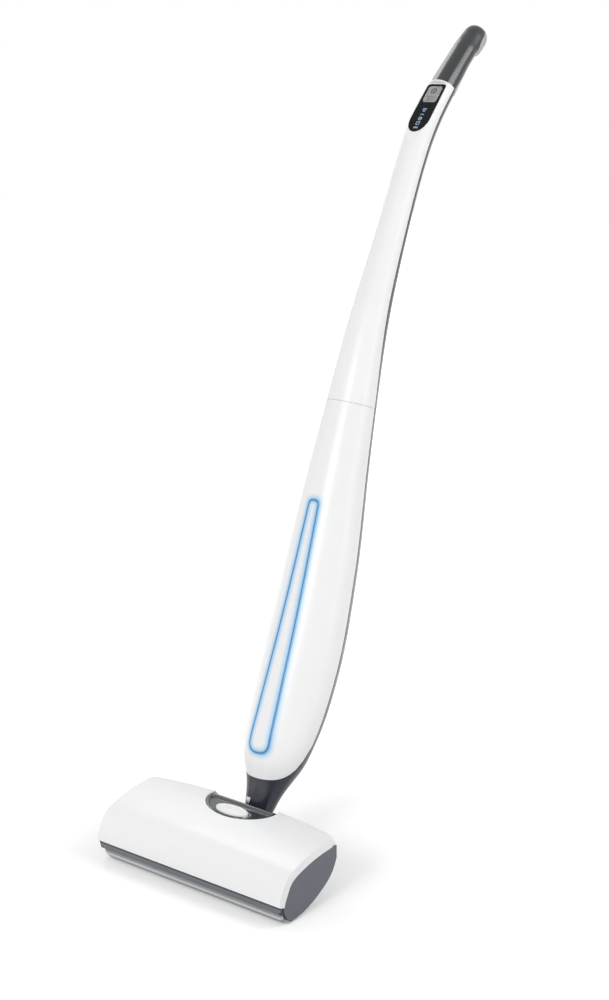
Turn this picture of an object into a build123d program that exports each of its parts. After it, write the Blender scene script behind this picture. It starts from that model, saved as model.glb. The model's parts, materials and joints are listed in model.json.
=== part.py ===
from build123d import *
import os
from math import cos, radians, sin

# A cordless floor washer: a wide head with a driven wet roller, and a stick on a two-way neck joint.
# Millimetres. The floor is z = 0, +Z is up, the head faces -Y, and the origin is under the head's middle.

# Head
head_width = 330
half = head_width / 2
cover_wall = 2.6
cover_points = [(-59.5, 31), (-56.5, 45), (-46, 63.5), (-17, 78.5), (17, 86), (50, 89), (84, 90.5)]
cover_foot_rear = (50, 76)
rim_depth = 13
rim_width = 8
rear_middle_y = 79.5
rear_bow_radius = 786
bevel_start_z = 79.5
bevel_angle = 34
bevel_height = 20
cap_thickness = 4.2
cap_recess = 0.5
fit_gap = 0.4
cap_front_points = [(-43, 4), (-49.6, 14), (-52.6, 27.5)]
cap_rear_step = [(58.8, 75.4), (61.8, 75.4)]
cap_top_share = 0.8
underside_points = [(62, 58), (51, 38), (30, 22), (6, 10.5), (-17, 4), (-36, 2)]
band_points = [(-57.5, 30.4), (-54, 18), (-51, 18), (-54, 29)]
band_inset = 1
tie_points = [(-56, 30.4), (-53.5, 27.5), (-43, 36), (-46, 40.5)]
lip_points = [
    (-54, 18), (-51, 18), (-50, 12), (-44, 3), (-44.6, 1.5), (-47.4, 1.8), (-53.4, 7.4), (-55, 9.6),
    (-54.4, 11.2), (-53.8, 12.4),
]
lip_foot = (-46, 1.5)
lip_inset = 9
lip_corner_cut = 9
floor_half = half - cap_recess - cap_thickness - 0.2
floor_points = [(17, 15), (30, 22), (51, 38), (62, 58)]
floor_inner_points = [(15.5, 17.6), (28.5, 24.6), (48.8, 39.8), (59.3, 58)]
rear_wall_y = (59.3, 62)
rear_wall_foot_z = 57.5
beam_y = (18, 22.8)
beam_z = (58, 61.5)
deck_z = 72
deck_thickness = 2.6
deck_front_y = 57
deck_opening_half = 60
chassis_screw_spots = [(-100, 66), (-72, 67.5), (72, 67.5), (100, 66)]
chassis_screw_radius = 2
chassis_screw_hole = 2.1
chassis_screw_length = 6
chassis_screw_head_radius = 3.6
chassis_screw_head_height = 2.2
curve_steps = 9
beyond = 100

# Roller and its drive
roller_y = -15
roller_z = 28
roller_radius = 28
core_radius = 19
core_wall = 2
roller_half = 141
bulkhead_inner = 144
bulkhead_thickness = 4
hood_radius = 32.2
hood_wall = 2.2
axle_radius = 4
axle_end = 158
bush_radius = 8
disc_thickness = 8
hood_from = 52
hood_to = 168
running_gap = 0.05
motor_y = 41
motor_z = 60
motor_radius = 16.5
motor_from = -140
motor_to = -62
motor_nose_radius = 6
motor_nose_length = 3
motor_shaft_radius = 2.5
motor_shaft_end = -101
clamp_wall = 1.2
clamp_x = (-112, -92)
clamp_foot = [(37, 31.8), (45, 37.8), (45, 46), (37, 46)]
belt_x = -153.5
belt_width = 6
belt_thickness = 1.6
roller_pulley_radius = 19
motor_pulley_radius = 7.6
pulley_width = 7
belt_gap = 0.3
tank_outline = [(24, 36), (24, 61.5), (56, 61.5), (56, 57), (45, 40), (34, 32)]
tank_hollow = [(22, 38), (26, 57.5), (54, 59.5), (54, 57.5), (44, 41.6), (34, 34.4)]
tank_x = (-54, 138)
tank_end_wall = 2
wiper_angle = 36
wiper_gap = 0.6
wiper_tip = 1.2
wiper_seat = [(22, 55), (22, 58), (19, 58)]
wiper_half = 138
spray_spot = (-37.5, 60.5)
spray_radius = 2.6
spray_bore = 1.6
spray_half = 128
spray_end_wall = 2

# Release button in the oval bezel
bezel_y = 62
bezel_half_x = 59
bezel_half_y = 42
bezel_rim = 6
bezel_wall = 3
bezel_sunk = 0.8
bezel_foot_z = 72
bezel_rear_foot = (65, 71)
bezel_rear_lip = (66.5, 91)
bezel_under_rear_y = 63
dish_z = 85
dish_floor = 2.5
button_y = 38
button_half_x = 27.2
button_half_y = 12.6
button_top_z = 90
button_foot_z = 78
button_edge = 1.6
button_rim = 4
button_dip = 0.8
button_wall = 3
button_hollow = 6
button_post_radius = 3.4
button_post_length = 6.8
spring_radius = 6
spring_bore = 4.4
latch_plate_z = 64
latch_plate_thickness = 2
latch_plate_half = 36
latch_plate_y = (24, 58.8)
latch_wall_y = (34, 56.6)
latch_wall_half = 1.2
latch_rest_gap = 0.2
latch_top = 5
latch_bar_half = 14
latch_bar_y = (49, 56.4)
latch_tongue_half = 8
latch_tongue_end_y = 64
latch_slot_half = 14.5
latch_slot_top = 7

# Neck joint, rear wheels and the stick's lean
pivot_y = 88
pivot_z = 52
pin_radius = 5
knuckle_radius = 13
knuckle_half = 31.4
ear_inner = 32
ear_outer = 40
bracket_y = (62.4, 66)
bracket_z = (42, 65.6)
ear_root = (67, 56)
ear_root_radius = 8.5
ear_foot_radius = 7
wheel_y = 118
wheel_radius = 15
wheel_width = 13
wheel_inner_x = 42.5
tyre_depth = 4
wheel_axle_radius = 3
axle_overhang = 1.5
post_radius = 11
post_bore = 6
post_bore_from = 8
post_top = 38
groove_drop = 3.6
groove_width = 1.6
groove_depth = 1
ring_thickness = 1.2
ring_overlap = 1.6
collar_radius = 17
collar_from = 14.5
collar_to = 18.4
lean = 20.5

# Stick, upright in its own frame: height above the pivot, rearward offset, half width
stations = [
    (19, 1.5, 21), (40, 4.5, 25.5), (63, 8.5, 33.5), (86, 10.5, 43.5), (112, 12.5, 50), (144, 17, 54),
    (191, 21.5, 56.8), (262, 24.5, 57.5), (331, 23, 55.2), (400, 19.5, 52), (470, 14, 47.2),
    (540, 9.5, 41.8), (609, 6.5, 36.8), (689, 3.5, 31.6), (760, 4.5, 27.5), (831, 9, 24.2), (904, 14.5, 22),
    (964, 20, 21.4), (1014, 28, 21.9), (1050, 39, 22), (1092, 57.5, 21), (1120, 70, 20.2),
]
depth_ratio = 0.94
shell_wall = 2
hollow_from = 44
throat = (5, 18, 17)
post_socket_drop = 5
ring_room = 3
seam_height = 604.5
seam_gap = 0.3
parting_ratio = 0.2
parting_from = 150
parting_low_points = [(-70, 53), (-22, 63), (-4, 72), (12, 95), (24, 124)]
clip_height = 31
clip_x = (-10, -3)
clip_s = (26, 34)
clip_proud = 0.9
clip_depth = 3

# Light ring on the front: two end circles of one tapered loop
ring_low = 119
ring_low_radius = 19
ring_high = 452.5
ring_high_radius = 10.5
ring_width = 4

# Grip and control panel
grip_angle = 24
grip_foot = (0, 57, 1088)
grip_sections = [
    (-6, 0, 20.4, 19.4), (20, 0, 19.8, 18.4), (52, 0.8, 18.8, 17), (80, 3.8, 18.6, 18.2),
    (97, 6.6, 18.2, 19.2), (109, 8.2, 15.4, 16.6), (118, 9, 9, 9.6),
]
grip_wall = 2.4
insert_offset = 8
panel_depth = 14.5
flat_to = -3.6
panel_from = -92
panel_to = -5
panel_half_width = 15.8
panel_thickness = 2.2
panel_corner = 7
panel_fit = 0.2
panel_floor = 1.6
panel_floor_edge = 2.5
panel_floor_inset = 0.4
panel_floor_from = 800
panel_pocket = 10
power_from = -38
power_half_width = 11
power_half_length = 14.5
power_gap = 0.4
power_corner = 5
power_proud = 0.9
power_foot = 1.2
board_drop = 4.6
board_thickness = 1.6
board_half_width = 11
board_inset = (10, 2)
board_corner = 2
switch_radius = 3
switch_height = 2.1

# Inside the stick
cell_radius = 9.1
cell_length = 65
cell_ring = 12.6
cell_gap = 0.15
cell_layers = 2
battery_from = 94
battery_middle = 150
battery_wall = 1.6
battery_rim = 2.4
battery_base = 2
battery_window = (5, 4)
tank_from = 250
tank_to = 500
tank_gap = 9
tank_wall = 1.5
tank_end = 2
tank_mouth = 9
cap_plug_radius = 8.9
cap_plug_depth = 4
cap_head_radius = 12
cap_head_height = 5
cap_bore = 2.5
pipe_radius = 2.4
pipe_bore = 1.4
pipe_sink = 3
pump_from = 522
pump_to = 572
pump_top = 580
pump_radius = 15
pump_nose_radius = 9
main_board_half = 17
main_board_v = (29, 30.6)
main_board_s = (510, 552)
strip_half = 5
strip_v = (-22.6, -21)
socket_height = 560
socket_radius = 2.9
socket_depth = 9
socket_body_radius = 6
socket_body_depth = 12
socket_fit = 0.1
stick_screw_heights = [170, 330, 505, 660, 880]
stick_screw_hole = 3.2
stick_screw_hole_depth = 20
stick_screw_head_radius = 3
stick_screw_head = (3.4, 1)
stick_screw_shank_radius = 1.4
stick_screw_tip = 9


def prism_x(face, x_from, x_to):
    # A side view face, drawn in (y, z), drawn out along X
    return extrude(Plane.YZ.offset(x_from) * face, amount=x_to - x_from)


def cylinder_x(radius, y, z, x_from, x_to):
    return prism_x(Pos(y, z) * Circle(radius), x_from, x_to)


def prism_z(face, z_from, z_to):
    return extrude(Plane.XY.offset(z_from) * face, amount=z_to - z_from)


def block(x_from, x_to, y_from, y_to, z_from, z_to):
    corner = (Align.MIN, Align.MIN, Align.MIN)
    return Pos(x_from, y_from, z_from) * Box(x_to - x_from, y_to - y_from, z_to - z_from, align=corner)


def polygon(*points):
    return make_face(Polyline(*points, close=True))


def offset_points(curve, amount, last, count):
    # Points at the same distance inside a curve that runs from front to rear
    found = []
    for step in range(count):
        place = last * step / (count - 1)
        spot = curve @ place
        along = curve % place
        found.append((spot.X + along.Y * amount, spot.Y - along.X * amount))
    return found


cover_line = Spline(*cover_points)


def under_cover(amount):
    # Everything below the cover line moved inwards
    curve = Spline(*offset_points(cover_line, amount, 1, curve_steps))
    start = curve @ 0
    end = curve @ 1
    return make_face([
        curve,
        Line(end, (end.X, 0)),
        Line((end.X, 0), (start.X, 0)),
        Line((start.X, 0), start),
    ])


def head_plan(inset):
    # Plan of the head with its bowed rear edge, wider than the head so that only the rear edge counts
    reach = half + beyond
    middle = rear_middle_y - inset
    end = middle - rear_bow_radius + (rear_bow_radius ** 2 - reach ** 2) ** 0.5
    face = make_face([
        ThreePointArc((reach, end), (0, middle), (-reach, end)),
        Line((-reach, end), (-reach, -beyond)),
        Line((-reach, -beyond), (reach, -beyond)),
        Line((reach, -beyond), (reach, end)),
    ])
    lower = prism_z(face, 0, bevel_start_z)
    upper = extrude(Plane.XY.offset(bevel_start_z) * face, amount=bevel_height, taper=bevel_angle)
    return lower + upper


def oval(center_y, half_x, half_y, z_from, z_to):
    return prism_z(Pos(0, center_y) * Ellipse(half_x, half_y), z_from, z_to)


# Head casing


def make_top_cover():
    end = cover_line @ 1
    outline = make_face([
        cover_line,
        Line(end, (end.X, cover_foot_rear[1])),
        Line((end.X, cover_foot_rear[1]), cover_foot_rear),
        Line(cover_foot_rear, cover_line @ 0),
    ])
    skin = prism_x(outline, -half, half) & head_plan(0)
    inside = prism_x(under_cover(cover_wall), rim_width - half, half - rim_width) & head_plan(cover_wall)
    ends = prism_x(under_cover(rim_depth), -half - beyond, half + beyond) & head_plan(cover_wall)
    notch = oval(bezel_y, bezel_half_x + fit_gap, bezel_half_y + fit_gap, 0, beyond)
    return skin - inside - ends - notch


def cap_face():
    top = Spline(*offset_points(cover_line, rim_depth + fit_gap, cap_top_share, curve_steps))
    belly = Spline(*underside_points)
    return make_face([
        top,
        Polyline(top @ 1, *cap_rear_step, belly @ 0),
        belly,
        Polyline(belly @ 1, *cap_front_points, top @ 0),
    ])


def make_end_cap(side):
    outer = side * (half - cap_recess)
    return prism_x(cap_face(), outer - side * cap_thickness, outer)


def hood_spot(radius, angle):
    return (roller_y + radius * cos(radians(angle)), roller_z + radius * sin(radians(angle)))


def make_hood():
    # A curved roof close over the roller
    outer = hood_radius + hood_wall
    middle = (hood_from + hood_to) / 2
    face = make_face([
        ThreePointArc(hood_spot(outer, hood_from), hood_spot(outer, middle), hood_spot(outer, hood_to)),
        Line(hood_spot(outer, hood_to), hood_spot(hood_radius, hood_to)),
        ThreePointArc(
            hood_spot(hood_radius, hood_to), hood_spot(hood_radius, middle), hood_spot(hood_radius, hood_from)
        ),
        Line(hood_spot(hood_radius, hood_from), hood_spot(outer, hood_from)),
    ])
    return prism_x(face, -bulkhead_inner, bulkhead_inner)


def make_floor():
    belly = Spline(*floor_points)
    inner = Spline(*floor_inner_points)
    face = make_face([
        belly,
        Line(belly @ 1, inner @ 1),
        inner,
        Line(inner @ 0, belly @ 0),
    ])
    return prism_x(face, -floor_half, floor_half)


def make_chassis():
    band = prism_x(polygon(*band_points), band_inset - half, half - band_inset)
    tie_half = half - rim_width - fit_gap
    tie = prism_x(polygon(*tie_points), -tie_half, tie_half)
    beam = block(-bulkhead_inner, bulkhead_inner, *beam_y, *beam_z)
    rear_wall = block(-floor_half, floor_half, *rear_wall_y, rear_wall_foot_z, deck_z)
    slot_low = latch_plate_z + latch_plate_thickness
    rear_wall -= block(-latch_slot_half, latch_slot_half, 0, beyond, slot_low, latch_plate_z + latch_slot_top)
    deck = block(-floor_half, floor_half, deck_front_y, beyond, deck_z - deck_thickness, deck_z)
    deck &= head_plan(cover_wall + fit_gap)
    deck -= block(-deck_opening_half, deck_opening_half, rear_wall_y[1], beyond, 0, beyond)
    frame = band + tie + beam + make_hood() + make_floor() + rear_wall + deck
    frame -= oval(bezel_y, bezel_half_x + fit_gap, bezel_half_y + fit_gap, bezel_foot_z - fit_gap, beyond)
    for side in (-1, 1):
        near = side * bulkhead_inner
        far = near + side * bulkhead_thickness
        frame += prism_x(cap_face(), near, far)
        frame -= cylinder_x(bush_radius, roller_y, roller_z, near - side, far + side)
    frame -= cylinder_x(motor_pulley_radius, motor_y, motor_z, -half, motor_from)
    for x, y in chassis_screw_spots:
        frame -= Pos(x, y, deck_z) * Cylinder(chassis_screw_hole, 4 * deck_thickness)
    return frame


def make_chassis_screws():
    screws = []
    head_z = deck_z - deck_thickness - chassis_screw_head_height / 2
    for x, y in chassis_screw_spots:
        shank = Pos(x, y, deck_z) * Cylinder(chassis_screw_radius, chassis_screw_length)
        head = Pos(x, y, head_z) * Cylinder(chassis_screw_head_radius, chassis_screw_head_height)
        screws.append(shank + head)
    return Compound(children=screws)


def make_front_lip():
    lip = prism_x(polygon(*lip_points), lip_inset - half, half - lip_inset)
    foot_y, foot_z = lip_foot
    for side in (-1, 1):
        corner = Pos(side * (half - lip_inset), foot_y, foot_z) * Rotation(90, 0, 0) * Rotation(0, 0, 45)
        lip -= corner * Box(lip_corner_cut, lip_corner_cut, beyond)
    return lip


def make_bezel():
    rim = oval(bezel_y, bezel_half_x, bezel_half_y, bezel_foot_z, beyond)
    rim &= prism_x(under_cover(bezel_sunk), -half, half)
    dish = oval(bezel_y, bezel_half_x - bezel_rim, bezel_half_y - bezel_rim, dish_z, beyond)
    dish &= block(-half, half, 0, bezel_rear_lip[0] - bezel_rim, dish_z, beyond)
    low = bezel_foot_z - fit_gap
    under = oval(bezel_y, bezel_half_x - bezel_wall, bezel_half_y - bezel_wall, low, dish_z - dish_floor)
    under &= block(-half, half, 0, bezel_under_rear_y, low, dish_z)
    lip_y, lip_z = bezel_rear_lip
    far = lip_y + beyond
    top = lip_z + beyond
    behind = polygon(
        bezel_rear_foot, bezel_rear_lip, (lip_y, top), (far, top), (far, 0), (bezel_rear_foot[0], 0)
    )
    hole = oval(button_y, button_half_x + fit_gap, button_half_y + fit_gap, 0, beyond)
    return rim - dish - under - prism_x(behind, -half, half) - hole


def make_release_button():
    body = oval(button_y, button_half_x, button_half_y, button_foot_z, button_top_z)
    body = fillet(body.edges().group_by(Axis.Z)[-1], button_edge)
    dip_z = button_top_z - button_dip
    body -= oval(button_y, button_half_x - button_rim, button_half_y - button_rim, dip_z, beyond)
    hollow_z = button_foot_z + button_hollow
    body -= oval(button_y, button_half_x - button_wall, button_half_y - button_wall, 0, hollow_z)
    post_middle = Pos(0, button_y, button_foot_z + button_post_length / 2)
    return body + post_middle * Cylinder(button_post_radius, button_post_length)


def make_release_spring():
    low = latch_plate_z + latch_plate_thickness
    ring = Circle(spring_radius) - Circle(spring_bore)
    return Pos(0, button_y, low) * extrude(ring, amount=button_foot_z + button_hollow - low)


def make_latch_plate():
    top = latch_plate_z + latch_plate_thickness
    plate = block(-latch_plate_half, latch_plate_half, *latch_plate_y, latch_plate_z, top)
    for side in (-1, 1):
        wall = block(-latch_wall_half, latch_wall_half, *latch_wall_y, latch_plate_z, dish_z - dish_floor)
        plate += Pos(side * (latch_plate_half - latch_wall_half), 0, 0) * wall
    return plate


def make_release_latch():
    low = latch_plate_z + latch_plate_thickness + latch_rest_gap
    top = latch_plate_z + latch_top
    bar = block(-latch_bar_half, latch_bar_half, *latch_bar_y, low, top)
    tongue = block(-latch_tongue_half, latch_tongue_half, latch_bar_y[1], latch_tongue_end_y, low, top)
    return bar + tongue


# Roller, drive and water in the head


def make_roller_core():
    ring = Circle(core_radius) - Circle(core_radius - core_wall)
    return prism_x(Pos(roller_y, roller_z) * ring, -roller_half, roller_half)


def make_roller_sleeve():
    ring = Circle(roller_radius) - Circle(core_radius + running_gap)
    return prism_x(Pos(roller_y, roller_z) * ring, -roller_half, roller_half)


def make_roller_discs():
    ring = Circle(core_radius - core_wall - running_gap) - Circle(axle_radius)
    face = Pos(roller_y, roller_z) * ring
    near = roller_half - disc_thickness
    return Compound(children=[prism_x(face, -roller_half, -near), prism_x(face, near, roller_half)])


def make_roller_axle():
    return cylinder_x(axle_radius, roller_y, roller_z, -axle_end, bulkhead_inner + bulkhead_thickness)


def make_roller_bushes():
    ring = Pos(roller_y, roller_z) * (Circle(bush_radius) - Circle(axle_radius + running_gap))
    far = bulkhead_inner + bulkhead_thickness
    return Compound(children=[prism_x(ring, -far, -bulkhead_inner), prism_x(ring, bulkhead_inner, far)])


def make_pulley(radius, y, z, bore):
    low = belt_x - pulley_width / 2
    wheel = cylinder_x(radius, y, z, low, low + pulley_width)
    return wheel - cylinder_x(bore, y, z, -half, 0)


def belt_loop(extra):
    big = Pos(roller_y, roller_z) * Circle(roller_pulley_radius + extra)
    small = Pos(motor_y, motor_z) * Circle(motor_pulley_radius + extra)
    return make_hull(big.edges() + small.edges())


def make_belt():
    face = belt_loop(belt_gap + belt_thickness) - belt_loop(belt_gap)
    return prism_x(face, belt_x - belt_width / 2, belt_x + belt_width / 2)


def make_motor():
    can = cylinder_x(motor_radius, motor_y, motor_z, motor_from, motor_to)
    nose = cylinder_x(motor_nose_radius, motor_y, motor_z, motor_from - motor_nose_length, motor_from)
    bore = motor_shaft_radius + running_gap
    return can + nose - cylinder_x(bore, motor_y, motor_z, -half, motor_shaft_end + 1)


def make_motor_shaft():
    return cylinder_x(motor_shaft_radius, motor_y, motor_z, belt_x - pulley_width / 2, motor_shaft_end)


def make_motor_clamp():
    spot = Pos(motor_y, motor_z)
    band = spot * (Circle(motor_radius + clamp_wall) - Circle(motor_radius + running_gap))
    foot = polygon(*clamp_foot) - spot * Circle(motor_radius + clamp_wall / 2)
    return prism_x(band + foot, *clamp_x)


def make_dirty_tank():
    low, high = tank_x
    hollow = prism_x(polygon(*tank_hollow), low + tank_end_wall, high - tank_end_wall)
    return prism_x(polygon(*tank_outline), low, high) - hollow


def make_wiper():
    tip_y, tip_z = hood_spot(roller_radius + wiper_gap, wiper_angle)
    face = polygon((tip_y, tip_z), (tip_y + wiper_tip, tip_z - wiper_tip), *wiper_seat)
    return prism_x(face, -wiper_half, wiper_half)


def make_spray_bar():
    spot = Pos(*spray_spot)
    tube = prism_x(spot * (Circle(spray_radius) - Circle(spray_bore)), -spray_half, spray_half)
    for x in (-spray_half, spray_half - spray_end_wall):
        tube += prism_x(spot * Circle(spray_radius), x, x + spray_end_wall)
    return tube


# Hinge bracket, pin and rear wheels


def make_hinge_bracket():
    base = block(-ear_outer, ear_outer, *bracket_y, *bracket_z)
    ear_circles = [
        Pos(*ear_root) * Circle(ear_root_radius),
        Pos(pivot_y, pivot_z) * Circle(knuckle_radius),
        Pos(wheel_y, wheel_radius) * Circle(ear_foot_radius),
    ]
    ear_edges = ShapeList()
    for circle in ear_circles:
        ear_edges += circle.edges()
    ear = make_hull(ear_edges)
    ahead = block(-half, half, 0, bracket_y[0], 0, beyond)
    bracket = base
    for side in (-1, 1):
        bracket += prism_x(ear, side * ear_inner, side * ear_outer) - ahead
    bracket -= cylinder_x(pin_radius, pivot_y, pivot_z, -half, half)
    bracket -= cylinder_x(wheel_axle_radius, wheel_y, wheel_radius, -half, half)
    return bracket


def make_pivot_pin():
    return cylinder_x(pin_radius, pivot_y, pivot_z, -ear_outer, ear_outer)


def make_wheel_axles():
    far = wheel_inner_x + wheel_width + axle_overhang
    return Compound(children=[
        cylinder_x(wheel_axle_radius, wheel_y, wheel_radius, side * ear_inner, side * far) for side in (-1, 1)
    ])


def make_wheel(side, outer, inner):
    ring = Pos(wheel_y, wheel_radius) * (Circle(outer) - Circle(inner))
    near = side * wheel_inner_x
    return prism_x(ring, near, near + side * wheel_width)


# Neck and stick, in the stick's own upright frame

stick_place = Pos(0, pivot_y, pivot_z) * Rotation(-lean, 0, 0)


def disc(radius, v, s_from, s_to):
    return Pos(0, v, s_from) * extrude(Circle(radius), amount=s_to - s_from)


def make_knuckle():
    barrel = extrude(Plane.YZ.offset(-knuckle_half) * Circle(knuckle_radius), amount=2 * knuckle_half)
    knuckle = barrel + disc(post_radius, 0, 0, post_top) + disc(collar_radius, 0, collar_from, collar_to)
    knuckle -= disc(post_bore, 0, post_bore_from, post_top + 1)
    groove = Circle(post_radius + groove_depth) - Circle(post_radius - groove_depth)
    knuckle -= Pos(0, 0, post_top - groove_drop) * extrude(groove, amount=groove_width)
    pin_hole = Circle(pin_radius + running_gap)
    return knuckle - extrude(Plane.YZ.offset(-half) * pin_hole, amount=2 * half)


def make_retaining_ring():
    ring = Circle(post_radius + ring_overlap) - Circle(post_radius - groove_depth + 2 * running_gap)
    side_gap = (groove_width - ring_thickness) / 2
    return Pos(0, 0, post_top - groove_drop + side_gap) * extrude(ring, amount=ring_thickness)


def section(s, v, a, b):
    return Pos(0, v, s) * Ellipse(a, b)


def stick_loft(inset, from_s):
    used = [(s, v, a) for s, v, a in stations if s >= from_s]
    return loft([section(s, v, a - inset, a * depth_ratio - inset) for s, v, a in used])


def at_height(height):
    # Rearward offset and half width at a height, between the two nearest stations
    for low, high in zip(stations, stations[1:]):
        if low[0] <= height <= high[0]:
            share = (height - low[0]) / (high[0] - low[0])
            return [low[i] + share * (high[i] - low[i]) for i in (1, 2)]


grip_plane = Plane(
    origin=grip_foot, x_dir=(1, 0, 0), z_dir=(0, sin(radians(grip_angle)), cos(radians(grip_angle)))
)


def above_grip_foot():
    return grip_plane * Pos(0, 0, beyond) * Box(2 * beyond, 2 * beyond, 2 * beyond)


def make_stick_tube():
    outer = stick_loft(0, 0)
    hollow = stick_loft(shell_wall, hollow_from)
    first = [row for row in stations if row[0] >= hollow_from][0]
    tube = outer - hollow
    throat_top = section(first[0], first[1], first[2] - shell_wall, first[2] * depth_ratio - shell_wall)
    tube -= loft([section(hollow_from, *throat), throat_top])
    socket_top = post_top - post_socket_drop
    tube -= disc(post_radius + running_gap, 0, 0, socket_top)
    tube -= disc(post_radius + ring_room, 0, socket_top, hollow_from + 1)
    return tube - above_grip_foot()


def make_front_block():
    # Everything in front of the parting line, which sweeps forward under the white shell
    line_points = list(parting_low_points)
    for s, v, a in stations:
        if s > parting_from:
            line_points.append((v + parting_ratio * depth_ratio * a, s))
    line = Spline(*line_points)
    top = line @ 1
    low_s = parting_low_points[0][1]
    face = make_face([
        line,
        Line(top, (-2 * beyond, top.Y)),
        Line((-2 * beyond, top.Y), (-2 * beyond, low_s)),
        Line((-2 * beyond, low_s), line @ 0),
    ])
    return prism_x(face, -beyond, beyond)


def loop_prism(low_radius, high_radius):
    low = Pos(0, ring_low) * Circle(low_radius)
    high = Pos(0, ring_high) * Circle(high_radius)
    return extrude(Plane.XZ * make_hull(low.edges() + high.edges()), amount=beyond)


def panel_block(x_half, from_t, to_t, from_depth, to_depth, corner):
    # A rounded pad on the flat at the stick's top, measured along the grip and up from the grip's axis
    face = RectangleRounded(2 * x_half, to_t - from_t, corner)
    flat = Plane(
        origin=grip_plane.origin, x_dir=(1, 0, 0), z_dir=-grip_plane.y_dir
    )
    spot = flat * Pos(0, (from_t + to_t) / 2, from_depth) * face
    return extrude(spot, amount=to_depth - from_depth)


def rear_cylinder(radius, height, deep, shallow):
    # From the rear face of the stick inwards, as depths below that face
    v, a = at_height(height)
    face = v + depth_ratio * a
    turned = Pos(0, face - deep, height) * Rotation(-90, 0, 0)
    return turned * extrude(Circle(radius), amount=deep - shallow)


def make_stick_shells():
    tube = make_stick_tube()
    front_block = make_front_block()
    tall = 2 * seam_height
    lower = Pos(0, 0, seam_height - tall / 2) * Box(tall, tall, tall - seam_gap)
    upper = Pos(0, 0, seam_height + tall / 2) * Box(tall, tall, tall - seam_gap)
    front = tube & front_block
    rear = tube - front_block
    front_lower = front & lower
    rear_lower = rear & lower
    rear_upper = rear & upper
    outer_loop = loop_prism(ring_low_radius, ring_high_radius)
    inner_loop = loop_prism(ring_low_radius - ring_width, ring_high_radius - ring_width)
    for height in stick_screw_heights:
        hole = rear_cylinder(stick_screw_hole, height, stick_screw_hole_depth, -beyond)
        rear_lower -= hole
        rear_upper -= hole
    socket_hole = socket_body_radius + socket_fit
    rear_lower -= rear_cylinder(socket_hole, socket_height, stick_screw_hole_depth, -beyond)
    return {
        "front_shell_lower": front_lower - outer_loop,
        "front_shell_upper": make_front_upper(front & upper, front_block),
        "rear_shell_lower": rear_lower,
        "rear_shell_upper": rear_upper,
        "light_ring": front_lower & (outer_loop - inner_loop),
        "light_window": front_lower & inner_loop,
    }


def make_front_upper(shell, front_block):
    # A flat on the front, with a floor under it and a pocket for the control panel
    seat = panel_depth - panel_thickness
    shell -= panel_block(beyond, panel_from - beyond, flat_to, panel_depth, 2 * beyond, 1)
    low_t = panel_from - panel_floor_edge
    width = panel_half_width + panel_floor_edge
    floor = panel_block(width, low_t, 0, seat - panel_floor, panel_depth, panel_corner - 1) & front_block
    shell += floor & (stick_loft(panel_floor_inset, panel_floor_from) - above_grip_foot())
    shell -= panel_block(panel_half_width, panel_from, panel_to, seat, beyond, panel_corner)
    return shell - power_pad(power_gap, seat - panel_pocket, beyond)


def power_pad(extra, from_depth, to_depth):
    half_length = power_half_length + extra
    middle = power_from + power_half_length
    return panel_block(
        power_half_width + extra, middle - half_length, middle + half_length, from_depth, to_depth, power_corner
    )


def make_control_panel():
    seat = panel_depth - panel_thickness
    low_t = panel_from + panel_fit
    high_t = panel_to - panel_fit
    corner = panel_corner - panel_fit
    panel = panel_block(panel_half_width - panel_fit, low_t, high_t, seat, panel_depth, corner)
    return panel - power_pad(power_gap, 0, beyond)


def make_power_button():
    seat = panel_depth - panel_thickness
    return power_pad(0, seat - power_foot, panel_depth + power_proud)


def make_power_switch():
    seat = panel_depth - panel_thickness
    flat = Plane(origin=grip_plane.origin, x_dir=(1, 0, 0), z_dir=-grip_plane.y_dir)
    spot = flat * Pos(0, power_from + power_half_length, seat - board_drop) * Circle(switch_radius)
    return extrude(spot, amount=switch_height)


def make_display_board():
    top = panel_depth - panel_thickness - board_drop
    low_t = panel_from + board_inset[0]
    high_t = panel_to - board_inset[1]
    return panel_block(board_half_width, low_t, high_t, top - board_thickness, top, board_corner)


def grip_loft(inset, rows):
    return loft([grip_plane * Pos(0, u, t) * Ellipse(a - inset, b - inset) for t, u, a, b in rows])


def make_grip():
    below = grip_plane * Pos(0, 0, -beyond) * Box(2 * beyond, 2 * beyond, 2 * beyond)
    sleeve = grip_loft(0, grip_sections) - grip_loft(grip_wall, grip_sections[:-1]) - below
    under_side = grip_plane * Pos(0, insert_offset + beyond, 0) * Box(2 * beyond, 2 * beyond, 4 * beyond)
    return sleeve - under_side, sleeve & under_side


# Inside the stick


def make_battery_holder():
    v = at_height(battery_middle)[0]
    top = battery_from + cell_layers * (cell_length + 1) + 2 * battery_base
    outer = cell_ring + cell_radius + battery_rim
    low_window, high_window = battery_window
    holder = disc(outer, v, battery_from, top)
    holder -= disc(outer - battery_wall, v, battery_from + low_window, top - high_window)
    for x, dv in cell_spots():
        holder -= Pos(x, v + dv, 0) * disc(cell_radius + cell_gap, 0, battery_from + battery_base, top + 1)
    return holder


def cell_spots():
    return [(cell_ring * sin(radians(angle)), cell_ring * cos(radians(angle))) for angle in (0, 120, 240)]


def make_battery_cells():
    v = at_height(battery_middle)[0]
    cells = []
    for x, dv in cell_spots():
        for layer in range(cell_layers):
            low = battery_from + battery_base + cell_gap + layer * (cell_length + 1)
            cells.append(Pos(x, v + dv, 0) * disc(cell_radius, 0, low, low + cell_length))
    return Compound(children=cells)


def tank_loft(inset, from_s, to_s):
    faces = []
    for step in range(4):
        s = from_s + (to_s - from_s) * step / 3
        v, a = at_height(s)
        faces.append(section(s, v, a - tank_gap - inset, a * depth_ratio - tank_gap - inset))
    return loft(faces)


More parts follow.
